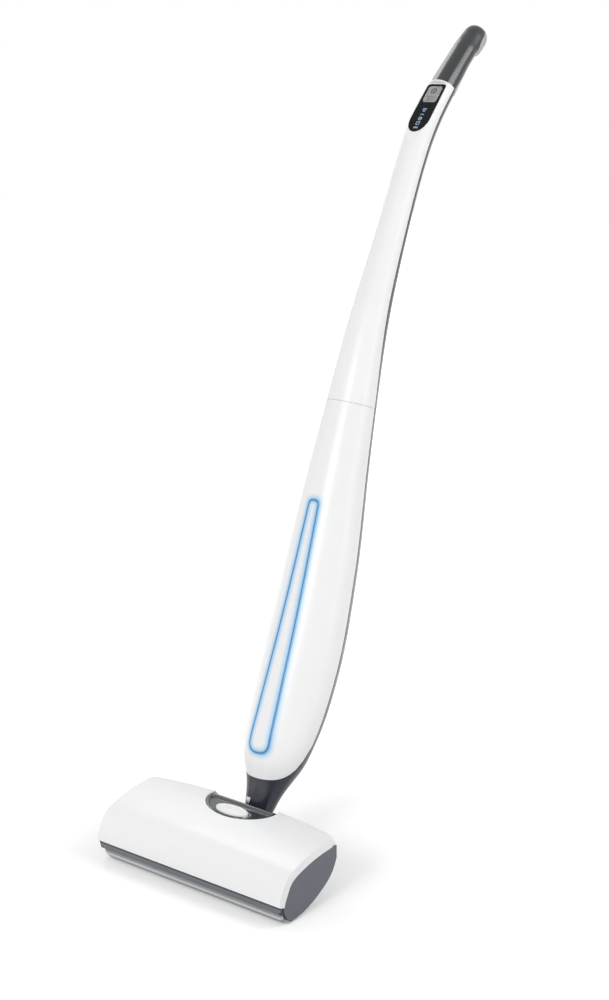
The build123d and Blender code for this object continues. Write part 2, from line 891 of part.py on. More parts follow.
def make_clean_tank():
    v = at_height(tank_to)[0]
    tank = tank_loft(0, tank_from, tank_to) - tank_loft(tank_wall, tank_from + tank_end, tank_to - tank_end)
    return tank - disc(tank_mouth, v, tank_to - 2 * tank_end - 1, tank_to + 1)


def make_tank_cap():
    v = at_height(tank_to)[0]
    plug = disc(cap_plug_radius, v, tank_to - cap_plug_depth, tank_to)
    head = disc(cap_head_radius, v, tank_to, tank_to + cap_head_height)
    return plug + head - disc(cap_bore, v, tank_from, tank_to + beyond)


def make_water_pipe():
    v = at_height(tank_to)[0]
    return disc(pipe_radius, v, tank_to - pipe_sink, pump_from) - disc(pipe_bore, v, tank_from, pump_to)


def make_pump():
    v = at_height(tank_to)[0]
    return disc(pump_radius, v, pump_from, pump_to) + disc(pump_nose_radius, v, pump_to, pump_top)


def make_main_board():
    return block(-main_board_half, main_board_half, *main_board_v, *main_board_s)


def make_light_strip():
    return block(-strip_half, strip_half, *strip_v, ring_low, ring_high)


def make_charge_socket():
    body = rear_cylinder(socket_body_radius, socket_height, socket_body_depth, 0)
    return body - rear_cylinder(socket_radius, socket_height, socket_depth, -1)


def make_stick_screws():
    screws = []
    head_low, head_top = stick_screw_head
    for height in stick_screw_heights:
        head = rear_cylinder(stick_screw_head_radius, height, head_low, head_top)
        screws.append(head + rear_cylinder(stick_screw_shank_radius, height, stick_screw_tip, head_low))
    return Compound(children=screws)


def make_neck_clip(neck):
    v, a = at_height(clip_height)
    front = v - depth_ratio * a
    return block(*clip_x, front - clip_proud, front + clip_depth, *clip_s) - neck


nodes = {
    "head_chassis": make_chassis(),
    "top_cover": make_top_cover(),
    "end_cap_left": make_end_cap(-1),
    "end_cap_right": make_end_cap(1),
    "front_lip": make_front_lip(),
    "chassis_screws": make_chassis_screws(),
    "button_bezel": make_bezel(),
    "release_button": make_release_button(),
    "release_spring": make_release_spring(),
    "latch_plate": make_latch_plate(),
    "release_latch": make_release_latch(),
    "roller_core": make_roller_core(),
    "roller_sleeve": make_roller_sleeve(),
    "roller_discs": make_roller_discs(),
    "roller_axle": make_roller_axle(),
    "roller_bushes": make_roller_bushes(),
    "roller_pulley": make_pulley(roller_pulley_radius, roller_y, roller_z, axle_radius),
    "motor_pulley": make_pulley(motor_pulley_radius, motor_y, motor_z, motor_shaft_radius),
    "motor_shaft": make_motor_shaft(),
    "drive_motor": make_motor(),
    "motor_clamp": make_motor_clamp(),
    "drive_belt": make_belt(),
    "dirty_water_tank": make_dirty_tank(),
    "wiper_blade": make_wiper(),
    "spray_bar": make_spray_bar(),
    "hinge_bracket": make_hinge_bracket(),
    "pivot_pin": make_pivot_pin(),
    "wheel_axles": make_wheel_axles(),
}
for side, word in ((-1, "left"), (1, "right")):
    rim_radius = wheel_radius - tyre_depth
    nodes["wheel_hub_" + word] = make_wheel(side, rim_radius, wheel_axle_radius + running_gap)
    nodes["wheel_tyre_" + word] = make_wheel(side, wheel_radius, rim_radius)

stick_nodes = make_stick_shells()
stick_nodes["grip_shell"], stick_nodes["grip_insert"] = make_grip()
stick_nodes.update({
    "neck_knuckle": make_knuckle(),
    "retaining_ring": make_retaining_ring(),
    "neck_clip": make_neck_clip(stick_nodes["rear_shell_lower"]),
    "control_panel": make_control_panel(),
    "power_button": make_power_button(),
    "power_switch": make_power_switch(),
    "display_board": make_display_board(),
    "battery_holder": make_battery_holder(),
    "battery_cells": make_battery_cells(),
    "clean_water_tank": make_clean_tank(),
    "tank_cap": make_tank_cap(),
    "water_pipe": make_water_pipe(),
    "water_pump": make_pump(),
    "main_board": make_main_board(),
    "light_strip": make_light_strip(),
    "charge_socket": make_charge_socket(),
    "stick_screws": make_stick_screws(),
})
for name, shape in stick_nodes.items():
    nodes[name] = stick_place * shape

os.makedirs("parts", exist_ok=True)
for name, shape in nodes.items():
    export_step(shape, "parts/" + name + ".step")
print("nodes:", len(nodes))
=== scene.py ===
import json
import math

import bmesh
import bpy
import numpy
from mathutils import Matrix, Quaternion, Vector, noise


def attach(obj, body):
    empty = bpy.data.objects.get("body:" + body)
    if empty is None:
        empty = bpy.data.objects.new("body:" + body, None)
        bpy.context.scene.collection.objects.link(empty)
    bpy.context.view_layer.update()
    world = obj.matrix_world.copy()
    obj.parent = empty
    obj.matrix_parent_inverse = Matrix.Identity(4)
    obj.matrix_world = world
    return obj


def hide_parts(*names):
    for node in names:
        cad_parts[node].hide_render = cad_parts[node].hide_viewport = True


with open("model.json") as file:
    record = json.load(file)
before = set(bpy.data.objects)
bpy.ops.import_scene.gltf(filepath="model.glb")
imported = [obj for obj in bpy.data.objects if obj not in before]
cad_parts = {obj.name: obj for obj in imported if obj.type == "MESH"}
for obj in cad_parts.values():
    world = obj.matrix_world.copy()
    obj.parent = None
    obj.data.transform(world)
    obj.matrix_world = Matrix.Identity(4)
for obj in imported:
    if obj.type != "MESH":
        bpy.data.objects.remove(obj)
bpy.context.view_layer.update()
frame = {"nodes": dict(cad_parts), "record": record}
scene = bpy.context.scene
mm = 0.001
weldReach = 0.02 * mm
sliverReach = 0.01 * mm
halvings = 40
edgeSegments = 3
print("frame loaded,", len(frame["nodes"]), "nodes")


# Camera, floor and light

viewPoint = {
    "lens": 64.8,
    "longSide": 36,
    "spot": (1.5101, -1.6995, 1.1251),
    "azimuth": 38.5,
    "elevation": 14.5,
}


def addCamera():
    data = bpy.data.cameras.new("photoCamera")
    data.lens = viewPoint["lens"]
    data.sensor_width = viewPoint["longSide"]
    turn = math.radians(viewPoint["azimuth"])
    rise = math.radians(viewPoint["elevation"])
    back = Vector((math.sin(turn) * math.cos(rise), -math.cos(turn) * math.cos(rise), math.sin(rise)))
    camera = bpy.data.objects.new("photoCamera", data)
    camera.location = viewPoint["spot"]
    camera.rotation_euler = (-back).to_track_quat("-Z", "Y").to_euler()
    scene.collection.objects.link(camera)
    scene.camera = camera


studio = {
    "floorSize": 16,
    "floorColour": (0.86, 0.86, 0.86, 1),
    "floorRoughness": 0.9,
    # Painted light on the floor: its glow near the object, and the distances over which it rises to full
    # white
    "floorPaintedLightNear": 0.28,
    "floorPaintedLightFade": (0.2, 0.85),
    "skyColour": (1, 1, 1, 1),
    "skyStrength": 0.5,
    "softboxes": [  # name, place, target, width and height, roll, watts
        ("frontBox", (0.25, -2.5, 1.7), (0, 0.2, 0.6), (1.1, 1.0), 0, 33),
        ("rightBox", (2.3, 0.45, 1.5), (0, 0.45, 1.0), (0.5, 2.8), 0, 12),
        ("highRightBox", (1.87, 1.25, 2.42), (0, 0.55, 1.08), (0.5, 1.8), 37, 14),
        ("leftBox", (-2.0, 1.55, 1.95), (0, 0.55, 1.08), (0.7, 1.2), -30, 3.5),
        ("highLeftBox", (-1.82, 0.88, 2.75), (0, 0.55, 1.08), (0.5, 1.0), -38, 6.5),
        ("lowLeftBox", (-2.2, -1.5, 1.2), (0, 0.1, 0.4), (1.0, 1.8), 0, 3.5),
    ],
}


def addSoftbox(name, spot, target, size, roll, watts):
    data = bpy.data.lights.new(name, "AREA")
    data.shape = "RECTANGLE"
    data.size, data.size_y = size
    data.energy = watts
    lamp = bpy.data.objects.new(name, data)
    lamp.location = spot
    aim = (Vector(target) - Vector(spot)).to_track_quat("-Z", "Y")
    lamp.rotation_euler = (aim @ Quaternion((0, 0, 1), math.radians(roll))).to_euler()
    scene.collection.objects.link(lamp)


def seenDirectly(tree):
    # 1 for rays from the camera and for what shows in gloss and glass
    path = tree.nodes.new("ShaderNodeLightPath").outputs
    straight = addMath(tree, "MAXIMUM", path["Is Camera Ray"], path["Is Transmission Ray"])
    return addMath(tree, "MAXIMUM", straight, path["Is Glossy Ray"])


def addStudio():
    world = bpy.data.worlds.new("studioWorld")
    world.use_nodes = True
    scene.world = world
    tree = world.node_tree
    tree.nodes.clear()
    out = tree.nodes.new("ShaderNodeOutputWorld")
    mix = tree.nodes.new("ShaderNodeMixShader")
    sky = tree.nodes.new("ShaderNodeBackground")
    sky.inputs["Color"].default_value = studio["skyColour"]
    sky.inputs["Strength"].default_value = studio["skyStrength"]
    paper = tree.nodes.new("ShaderNodeBackground")
    paper.inputs["Color"].default_value = (1, 1, 1, 1)
    tree.links.new(seenDirectly(tree), mix.inputs[0])
    tree.links.new(sky.outputs[0], mix.inputs[1])
    tree.links.new(paper.outputs[0], mix.inputs[2])
    tree.links.new(mix.outputs[0], out.inputs["Surface"])
    bm = bmesh.new()
    bmesh.ops.create_grid(bm, x_segments=1, y_segments=1, size=studio["floorSize"] / 2)
    mesh = bpy.data.meshes.new("studioFloor")
    bm.to_mesh(mesh)
    bm.free()
    floor = bpy.data.objects.new("studioFloor", mesh)
    scene.collection.objects.link(floor)
    mesh.materials.append(makeFloorFinish())
    for softbox in studio["softboxes"]:
        addSoftbox(*softbox)


def makeFloorFinish():
    material, tree, bsdf = startMaterial("paleFloor")
    bsdf.inputs["Base Color"].default_value = studio["floorColour"]
    bsdf.inputs["Roughness"].default_value = studio["floorRoughness"]
    bsdf.inputs["Emission Color"].default_value = (1, 1, 1, 1)
    # The floor glows for camera and gloss rays: painted light, weak near the object so its shadow shows, full
    # white further off where it paints out the shadows
    spot = tree.nodes.new("ShaderNodeTexCoord").outputs["Object"]
    reach = tree.nodes.new("ShaderNodeVectorMath")
    reach.operation = "LENGTH"
    tree.links.new(spot, reach.inputs[0])
    paintedFloorLight = addRange(tree, reach.outputs["Value"], *studio["floorPaintedLightFade"], studio["floorPaintedLightNear"], 1)
    tree.links.new(addMath(tree, "MULTIPLY", seenDirectly(tree), paintedFloorLight), bsdf.inputs["Emission Strength"])
    return material


# Shared surface effects


def newGroup(name, inputs, outputs):
    group = bpy.data.node_groups.new(name, "ShaderNodeTree")
    for label, kind, value in inputs:
        socket = group.interface.new_socket(label, in_out="INPUT", socket_type=kind)
        socket.default_value = value
    for label, kind in outputs:
        group.interface.new_socket(label, in_out="OUTPUT", socket_type=kind)
    return group, group.nodes.new("NodeGroupInput"), group.nodes.new("NodeGroupOutput")


def addMath(tree, operation, *values):
    node = tree.nodes.new("ShaderNodeMath")
    node.operation = operation
    for place, value in enumerate(values):
        if isinstance(value, (int, float)):
            node.inputs[place].default_value = value
        else:
            tree.links.new(value, node.inputs[place])
    return node.outputs[0]


def addNoise(tree, vector, scale, detail):
    node = tree.nodes.new("ShaderNodeTexNoise")
    node.inputs["Detail"].default_value = detail
    tree.links.new(vector, node.inputs["Vector"])
    if isinstance(scale, (int, float)):
        node.inputs["Scale"].default_value = scale
    else:
        tree.links.new(scale, node.inputs["Scale"])
    return node.outputs["Fac"]


def addRange(tree, value, low, high, toLow, toHigh):
    node = tree.nodes.new("ShaderNodeMapRange")
    node.interpolation_type = "SMOOTHSTEP"
    for place, number in enumerate((low, high, toLow, toHigh), start=1):
        if isinstance(number, (int, float)):
            node.inputs[place].default_value = number
        else:
            tree.links.new(number, node.inputs[place])
    tree.links.new(value, node.inputs[0])
    return node.outputs[0]


def addMix(tree, share, first, second):
    node = tree.nodes.new("ShaderNodeMix")
    node.data_type = "RGBA"
    tree.links.new(share, node.inputs["Factor"])
    # Inputs 6 and 7 are the node's two colours, output 2 is the mixed one
    for place, colour in ((6, first), (7, second)):
        if isinstance(colour, tuple):
            node.inputs[place].default_value = colour
        else:
            tree.links.new(colour, node.inputs[place])
    return node.outputs[2]


def newSurfaceGroup(name, *extra):
    floatKind, colourKind = "NodeSocketFloat", "NodeSocketColor"
    inputs = [("Tone", colourKind, (0.5, 0.5, 0.5, 1)), ("Shade", colourKind, (0.4, 0.4, 0.4, 1)),
              ("Gloss Low", floatKind, 0.2), ("Gloss High", floatKind, 0.3)]
    inputs += [(label, floatKind, value) for label, value in extra]
    return newGroup(name, inputs, [("Colour", colourKind), ("Roughness", floatKind), ("Height", floatKind)])


mould = {
    "drift": (7, 3),  # scale and detail of each noise
    "driftRange": (0.35, 0.65),
    "speckle": (2600, 2),
    "speckleShare": 0.25,
    "marks": (34, 5),
    "marksRange": (0.35, 0.7),
    "grainDetail": 3,
}


def makeMouldGroup():
    # Moulded plastic: fine grain, a slow drift of tone and handling marks in the gloss
    group, given, out = newSurfaceGroup("mouldedSurface", ("Grain Scale", 900))
    given = given.outputs
    spot = group.nodes.new("ShaderNodeTexCoord").outputs["Object"]
    drift = addRange(group, addNoise(group, spot, *mould["drift"]), *mould["driftRange"], 0, 1)
    speckle = addNoise(group, spot, *mould["speckle"])
    share = mould["speckleShare"]
    tint = addMath(group, "MULTIPLY_ADD", speckle, share, addMath(group, "MULTIPLY", drift, 1 - share))
    group.links.new(addMix(group, tint, given["Tone"], given["Shade"]), out.inputs["Colour"])
    marks = addNoise(group, spot, *mould["marks"])
    gloss = addRange(group, marks, *mould["marksRange"], given["Gloss Low"], given["Gloss High"])
    group.links.new(gloss, out.inputs["Roughness"])
    grain = addNoise(group, spot, given["Grain Scale"], mould["grainDetail"])
    group.links.new(grain, out.inputs["Height"])
    return group


brush = {"stretch": (0.04, 1, 1), "scratches": (1500, 4), "scratchRange": (0.3, 0.7), "cloud": (60, 3)}


def makeBrushGroup():
    # Drawn metal: long scratches along X, with a cloudy tone
    group, given, out = newSurfaceGroup("brushedSurface")
    given = given.outputs
    spot = group.nodes.new("ShaderNodeTexCoord").outputs["Object"]
    stretch = group.nodes.new("ShaderNodeMapping")
    stretch.inputs["Scale"].default_value = brush["stretch"]
    group.links.new(spot, stretch.inputs["Vector"])
    scratches = addNoise(group, stretch.outputs[0], *brush["scratches"])
    cloud = addNoise(group, spot, *brush["cloud"])
    group.links.new(addMix(group, cloud, given["Tone"], given["Shade"]), out.inputs["Colour"])
    gloss = addRange(group, scratches, *brush["scratchRange"], given["Gloss Low"], given["Gloss High"])
    group.links.new(gloss, out.inputs["Roughness"])
    group.links.new(scratches, out.inputs["Height"])
    return group


def startMaterial(name):
    material = bpy.data.materials.new(name)
    material.use_nodes = True
    return material, material.node_tree, material.node_tree.nodes["Principled BSDF"]


mouldGroup = makeMouldGroup()
brushGroup = makeBrushGroup()
scene.view_settings.view_transform = "Standard"
addCamera()
addStudio()
print("studio set")


# Finishes: one for each material slot of the record, and other greys for parts of the trim

finishes = {}
plastics = {
    "white_gloss": {"tone": (0.87, 0.87, 0.872), "shade": (0.85, 0.852, 0.856), "gloss": (0.3, 0.36),
                    "grain": 500, "bump": 0.01, "shine": 0.4, "coat": 0.1},
    "dark_grey": {"tone": (0.022, 0.026, 0.04), "shade": (0.018, 0.022, 0.034), "gloss": (0.22, 0.28),
                  "grain": 1500, "bump": 0.03, "shine": 0.5},
    "bezel_grey": {"tone": (0.04, 0.045, 0.055), "shade": (0.035, 0.04, 0.049), "gloss": (0.07, 0.1),
                   "grain": 1500, "bump": 0.01, "shine": 0.8},
    "band_grey": {"tone": (0.15, 0.159, 0.175), "shade": (0.136, 0.145, 0.16), "gloss": (0.32, 0.4),
                  "grain": 1500, "bump": 0.05, "shine": 0.4},
    "mid_grey": {"tone": (0.14, 0.15, 0.176), "shade": (0.128, 0.138, 0.163), "gloss": (0.45, 0.55),
                 "grain": 1700, "bump": 0.1, "shine": 0.3},
    "grip_grey": {"tone": (0.012, 0.0135, 0.017), "shade": (0.01, 0.0115, 0.015), "gloss": (0.22, 0.24),
                  "grain": 700, "bump": 0, "shine": 0.7},
    "grip_soft": {"tone": (0.44, 0.447, 0.455), "shade": (0.4, 0.407, 0.415), "gloss": (0.5, 0.62),
                  "grain": 2200, "bump": 0.15, "shine": 0.4},
    # Lighter than the band: painted highlight along the band's lower edge
    "bead_grey_painted_highlight": {"tone": (0.27, 0.277, 0.287), "shade": (0.25, 0.257, 0.267), "gloss": (0.25, 0.32),
                  "grain": 1500, "bump": 0.03, "shine": 0.5},
    # Pale grey: the lip's clear plastic, made lighter than its foot as a painted highlight line
    "lip_clear": {"tone": (0.52, 0.525, 0.53), "shade": (0.49, 0.495, 0.5), "gloss": (0.12, 0.2),
                  "grain": 600, "bump": 0.02, "shine": 0.6, "coat": 0.4},
    "lip_foot": {"tone": (0.27, 0.274, 0.28), "shade": (0.25, 0.254, 0.26), "gloss": (0.3, 0.4),
                 "grain": 900, "bump": 0.04, "shine": 0.4},
    "panel_black": {"tone": (0.004, 0.004, 0.005), "shade": (0.006, 0.006, 0.007), "gloss": (0.06, 0.12),
                    "grain": 400, "bump": 0.005, "shine": 0.1},
    "black_plastic": {"tone": (0.022, 0.023, 0.025), "shade": (0.017, 0.018, 0.02), "gloss": (0.42, 0.55),
                      "grain": 1500, "bump": 0.12, "shine": 0.35},
    "black_rubber": {"tone": (0.018, 0.018, 0.019), "shade": (0.025, 0.025, 0.026), "gloss": (0.65, 0.82),
                     "grain": 2400, "bump": 0.25, "shine": 0.3},
    "tank_plastic": {"tone": (0.5, 0.56, 0.61), "shade": (0.46, 0.52, 0.57), "gloss": (0.1, 0.2),
                     "grain": 500, "bump": 0.03, "shine": 0.5},
    "board_green": {"tone": (0.02, 0.15, 0.06), "shade": (0.015, 0.11, 0.045), "gloss": (0.25, 0.4),
                    "grain": 1100, "bump": 0.1, "shine": 0.4},
    "cell_can": {"tone": (0.12, 0.27, 0.18), "shade": (0.1, 0.23, 0.15), "gloss": (0.25, 0.35),
                 "grain": 800, "bump": 0.04, "shine": 0.5},
}
metals = {
    "clip_steel": {"tone": (0.66, 0.665, 0.67), "shade": (0.56, 0.565, 0.57), "gloss": (0.2, 0.36),
                   "bump": 0.06},
    "motor_steel": {"tone": (0.36, 0.37, 0.38), "shade": (0.29, 0.3, 0.31), "gloss": (0.3, 0.45),
                    "bump": 0.08},
    "cast_grey": {"tone": (0.2, 0.21, 0.225), "shade": (0.15, 0.16, 0.175), "gloss": (0.45, 0.62),
                  "bump": 0.25},
    "pump_body": {"tone": (0.42, 0.43, 0.44), "shade": (0.34, 0.35, 0.36), "gloss": (0.3, 0.45),
                  "bump": 0.1},
    "button_silver": {"tone": (0.27, 0.27, 0.274), "shade": (0.2, 0.2, 0.204), "gloss": (0.24, 0.36),
                      "bump": 0.04},
}
coatRoughness = 0.12
grainDepth = 0.4 * mm
scratchDepth = 0.2 * mm


def addSurface(tree, bsdf, group, look, depth):
    surface = tree.nodes.new("ShaderNodeGroup")
    surface.node_tree = group
    surface.inputs["Tone"].default_value = (*look["tone"], 1)
    surface.inputs["Shade"].default_value = (*look["shade"], 1)
    surface.inputs["Gloss Low"].default_value, surface.inputs["Gloss High"].default_value = look["gloss"]
    bump = tree.nodes.new("ShaderNodeBump")
    bump.inputs["Strength"].default_value = look["bump"]
    bump.inputs["Distance"].default_value = depth
    tree.links.new(surface.outputs["Height"], bump.inputs["Height"])
    tree.links.new(bump.outputs[0], bsdf.inputs["Normal"])
    tree.links.new(surface.outputs["Colour"], bsdf.inputs["Base Color"])
    tree.links.new(surface.outputs["Roughness"], bsdf.inputs["Roughness"])
    return surface


def makePlastic(name, look):
    material, tree, bsdf = startMaterial(name)
    surface = addSurface(tree, bsdf, mouldGroup, look, grainDepth)
    surface.inputs["Grain Scale"].default_value = look["grain"]
    bsdf.inputs["Specular IOR Level"].default_value = look["shine"]
    bsdf.inputs["Coat Weight"].default_value = look.get("coat", 0)
    bsdf.inputs["Coat Roughness"].default_value = coatRoughness
    return material


def makeMetal(name, look):
    material, tree, bsdf = startMaterial(name)
    addSurface(tree, bsdf, brushGroup, look, scratchDepth)
    bsdf.inputs["Metallic"].default_value = 1
    return material


for slotName, look in plastics.items():
    finishes[slotName] = makePlastic(slotName, look)
for slotName, look in metals.items():
    finishes[slotName] = makeMetal(slotName, look)
print("finishes made:", len(finishes))


# Mesh helpers


def mappedGrid(bm, columns, rows, place):
    # A flat grid whose points are moved to where place(u, w) says, u and w from 0 to 1
    made = bmesh.ops.create_grid(bm, x_segments=columns, y_segments=rows, size=0.5)
    for vert in made["verts"]:
        vert.co = place(vert.co.x + 0.5, vert.co.y + 0.5)


def lerp(first, second, share):
    return first + (second - first) * share


def smoothLine(knots, values):
    # Natural cubic through the given values
    knots = numpy.array(knots, float)
    values = numpy.array(values, float)
    gaps = numpy.diff(knots)
    slopes = numpy.diff(values) / gaps
    count = len(knots)
    system = numpy.eye(count)
    right = numpy.zeros(count)
    for i in range(1, count - 1):
        system[i, i - 1:i + 2] = gaps[i - 1], 2 * (gaps[i - 1] + gaps[i]), gaps[i]
        right[i] = 6 * (slopes[i] - slopes[i - 1])
    bend = numpy.linalg.solve(system, right)

    def at(place):
        i = min(max(int(numpy.searchsorted(knots, place)) - 1, 0), count - 2)
        gap, left, after = gaps[i], place - knots[i], knots[i + 1] - place
        curved = (bend[i] * after ** 3 + bend[i + 1] * left ** 3) / (6 * gap)
        below = values[i] / gap - bend[i] * gap / 6
        above = values[i + 1] / gap - bend[i + 1] * gap / 6
        return float(curved + (below * after + above * left))

    return at


def solveFor(function, low, high):
    # The place between low and high where a function changes sign
    rising = function(high) > function(low)
    for _ in range(halvings):
        middle = (low + high) / 2
        if (function(middle) > 0) == rising:
            high = middle
        else:
            low = middle
    return (low + high) / 2


def cornerLift(past, radius, ease):
    # How far a round corner has come up, past its start; an ease under 1 stops short of upright
    return radius - math.sqrt(max(0, radius * radius - past * past * ease))


def addPrism(bm, points, shift):
    # A flat face drawn out into a solid
    face = bm.faces.new([bm.verts.new(point) for point in points])
    made = bmesh.ops.extrude_face_region(bm, geom=[face])
    moved = [v for v in made["geom"] if isinstance(v, bmesh.types.BMVert)]
    bmesh.ops.translate(bm, verts=moved, vec=shift)


def closeEnds(bm, reach=weldReach):
    bmesh.ops.remove_doubles(bm, verts=bm.verts, dist=reach)
    bmesh.ops.holes_fill(bm, edges=[e for e in bm.edges if e.is_boundary], sides=0)


def addPiece(name, bm, slotName, body, replaces=(), inside=None, wall=0, edge=0, edgeAngle=50, material=None):
    bmesh.ops.remove_doubles(bm, verts=bm.verts, dist=weldReach)
    bmesh.ops.dissolve_degenerate(bm, edges=bm.edges, dist=sliverReach)
    bmesh.ops.recalc_face_normals(bm, faces=bm.faces)
    if inside is not None:
        centre = Vector(inside) * mm
        outward = sum(f.normal.dot(f.calc_center_median() - centre) * f.calc_area() for f in bm.faces)
        if outward < 0:
            bmesh.ops.reverse_faces(bm, faces=bm.faces)
    for face in bm.faces:
        face.smooth = True
    mesh = bpy.data.meshes.new(name)
    bm.to_mesh(mesh)
    bm.free()
    mesh.materials.append(material or finishes[slotName])
    piece = bpy.data.objects.new(name, mesh)
    scene.collection.objects.link(piece)
    if wall:
        solid = piece.modifiers.new("wall", "SOLIDIFY")
        solid.thickness = wall * mm
        solid.offset = -1
        solid.use_even_offset = True
    if edge:
        bevel = piece.modifiers.new("softEdge", "BEVEL")
        bevel.width = edge * mm
        bevel.segments = edgeSegments
        bevel.limit_method = "ANGLE"
        bevel.angle_limit = math.radians(edgeAngle)
        bevel.harden_normals = True
    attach(piece, body)
    if replaces:
        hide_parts(*replaces)
    return piece


# Head: white cover

cover = {
    "half": 165,
    "foot": (-59.5, 31),
    "line": [(-59, 41.5), (-55.8, 47.5), (-46, 63.5), (-17, 78.5), (17, 86), (50, 89), (84, 90.5)],
    "rearMiddle": 79.5,
    "rearBow": 786,
    "bevelStart": 79.5,
    "bevelSlope": math.tan(math.radians(34)),
    "rearFoot": 76,
    "cornerRadius": 9,
    "cornerEase": 0.85,
    "wall": 2.4,
    "edge": 1.3,
    "rim": 13,
    "rimFoot": (-50.2, 27.4),
    "rimDrop": 0.5,
    "rimInset": (0.3, 0.7),  # ahead of the bevel and behind it
    "near": 0.01,
    "tangentStep": 0.5,
    "bevelRounds": 6,
    "notchMiddle": 62,
    "notchHalfX": 59.4,
    "notchHalfY": 42.4,
    "stripShare": 0.08,  # of the rows, on the flat front strip
    "archShort": 6,
    "rows": 50,
    "middleColumns": 40,
    "sideColumns": 34,
    "topRows": 4,
    "bevelRows": 3,
    "weld": 0.05,
    "inside": (0, 10, 30),
}
coverChord = [0]
for (y0, z0), (y1, z1) in zip(cover["line"], cover["line"][1:]):
    coverChord.append(coverChord[-1] + math.hypot(y1 - y0, z1 - z0))
coverY = smoothLine(coverChord, [y for y, z in cover["line"]])
coverZ = smoothLine(coverChord, [z for y, z in cover["line"]])


def coverPlace(y):
    return solveFor(lambda place: coverY(place) - y, 0, coverChord[-1])


def coverHeight(y):
    return coverZ(coverPlace(y))


def offsetCover(place, gap):
    # A point inside the cover's curve
    step = cover["tangentStep"]
    ahead, behind = min(place + step, coverChord[-1]), max(place - step, 0)
    alongY, alongZ = coverY(ahead) - coverY(behind), coverZ(ahead) - coverZ(behind)
    size = math.hypot(alongY, alongZ)
    return coverY(place) + alongZ / size * gap, coverZ(place) - alongY / size * gap


def rearEdge(x):
    bow = cover["rearMiddle"] - cover["rearBow"] + math.sqrt(cover["rearBow"] ** 2 - x * x)
    past = max(0, abs(x) - cover["half"] + cover["cornerRadius"])
    return bow - cornerLift(past, cover["cornerRadius"], cover["cornerEase"])


def rearRows(x):
    # Where the bevel along the rear starts and ends
    edge = rearEdge(x)
    top = edge
    for _ in range(cover["bevelRounds"]):
        top = edge - cover["bevelSlope"] * (coverHeight(top) - cover["bevelStart"])
    return top, edge


def notchFront(x):
    share = x / cover["notchHalfX"]
    return cover["notchMiddle"] - cover["notchHalfY"] * math.sqrt(max(0, 1 - share ** 2))


def notchSide(y):
    share = (y - cover["notchMiddle"]) / cover["notchHalfY"]
    return cover["notchHalfX"] * math.sqrt(max(0, 1 - share ** 2))


def alongCover(w, lastPlace):
    # From the foot up the flat front strip, then over the arch
    stripShare = cover["stripShare"]
    if w < stripShare:
        share = w / stripShare
        (y0, z0), (y1, z1) = cover["foot"], cover["line"][0]
        return lerp(y0, y1, share), lerp(z0, z1, share)
    place = lastPlace * (w - stripShare) / (1 - stripShare)
    return coverY(place), coverZ(place)


def makeCover():
    bm = bmesh.new()
    rows, sideColumns = cover["rows"], cover["sideColumns"]
    endTop = rearRows(cover["half"])[0]

    def middlePatch(u, w):
        swing = math.sin(math.pi * (u - 0.5))
        across = cover["notchHalfX"] * lerp(2 * u - 1, swing, w)
        y, z = alongCover(w, coverPlace(notchFront(cover["notchHalfX"] * swing)))
        return Vector((across, y, z)) * mm

    def columnX(u, y):
        even = lerp(cover["notchHalfX"], cover["half"], u)
        pull = cover["notchHalfX"] - notchSide(y) if y > cover["notchMiddle"] else 0
        return even - (1 - u) * pull

    def rearRow(u):
        return rearRows(lerp(cover["notchHalfX"], cover["half"], u))

    def archEnd(u):
        return lerp(cover["notchMiddle"], endTop - cover["archShort"], u * u)

    mappedGrid(bm, cover["middleColumns"], rows, middlePatch)
    for side in (-1, 1):
        def archPatch(u, w):
            y, z = alongCover(w, coverPlace(archEnd(u)))
            return Vector((side * columnX(u, y), y, z)) * mm

        def topPatch(u, w):
            y = lerp(archEnd(u), rearRow(u)[0], w)
            return Vector((side * columnX(u, y), y, coverHeight(y))) * mm

        def bevelPatch(u, w):
            top, edge = rearRow(u)
            y = lerp(top, edge, w)
            return Vector((side * columnX(u, y), y, lerp(coverHeight(top), cover["bevelStart"], w))) * mm

        def backPatch(u, w):
            edge = rearRow(u)[1]
            z = lerp(cover["bevelStart"], cover["rearFoot"], w)
            return Vector((side * columnX(u, edge), edge, z)) * mm

        mappedGrid(bm, sideColumns, rows, archPatch)
        mappedGrid(bm, sideColumns, cover["topRows"], topPatch)
        mappedGrid(bm, sideColumns, cover["bevelRows"], bevelPatch)
        mappedGrid(bm, sideColumns, 1, backPatch)
    bmesh.ops.remove_doubles(bm, verts=bm.verts, dist=cover["weld"] * mm)
    bmesh.ops.recalc_face_normals(bm, faces=bm.faces)
    if sum(f.normal.z for f in bm.faces) < 0:
        bmesh.ops.reverse_faces(bm, faces=bm.faces)
    addEndRims(bm)
    piece = addPiece("topCover", bm, "white_gloss", "head", ["top_cover"], cover["inside"], cover["wall"],
                     cover["edge"])
    piece.modifiers["wall"].use_even_offset = False


def rimPoint(y, z, topY, edgeY):
    # Where the rim round the end cap ends, inside a point of the cover's end
    footZ, stripZ = cover["foot"][1], cover["line"][0][1]
    low = cover["bevelStart"] - cover["rimDrop"]
    near = cover["near"]
    ahead, behind = cover["rimInset"]
    if z < stripZ - near and y < 0:
        share = (z - footZ) / (stripZ - footZ)
        return tuple(lerp(a, b, share) for a, b in zip(cover["rimFoot"], offsetCover(0, cover["rim"])))
    if y < topY - near:
        return offsetCover(coverPlace(y), cover["rim"])
    if z > cover["bevelStart"] - near:
        share = (y - topY) / (edgeY - topY)
        rimZ = lerp(coverHeight(topY) - cover["rim"], low, share)
        return lerp(topY + ahead, edgeY - behind, share), rimZ
    return edgeY - behind, min(z, low)


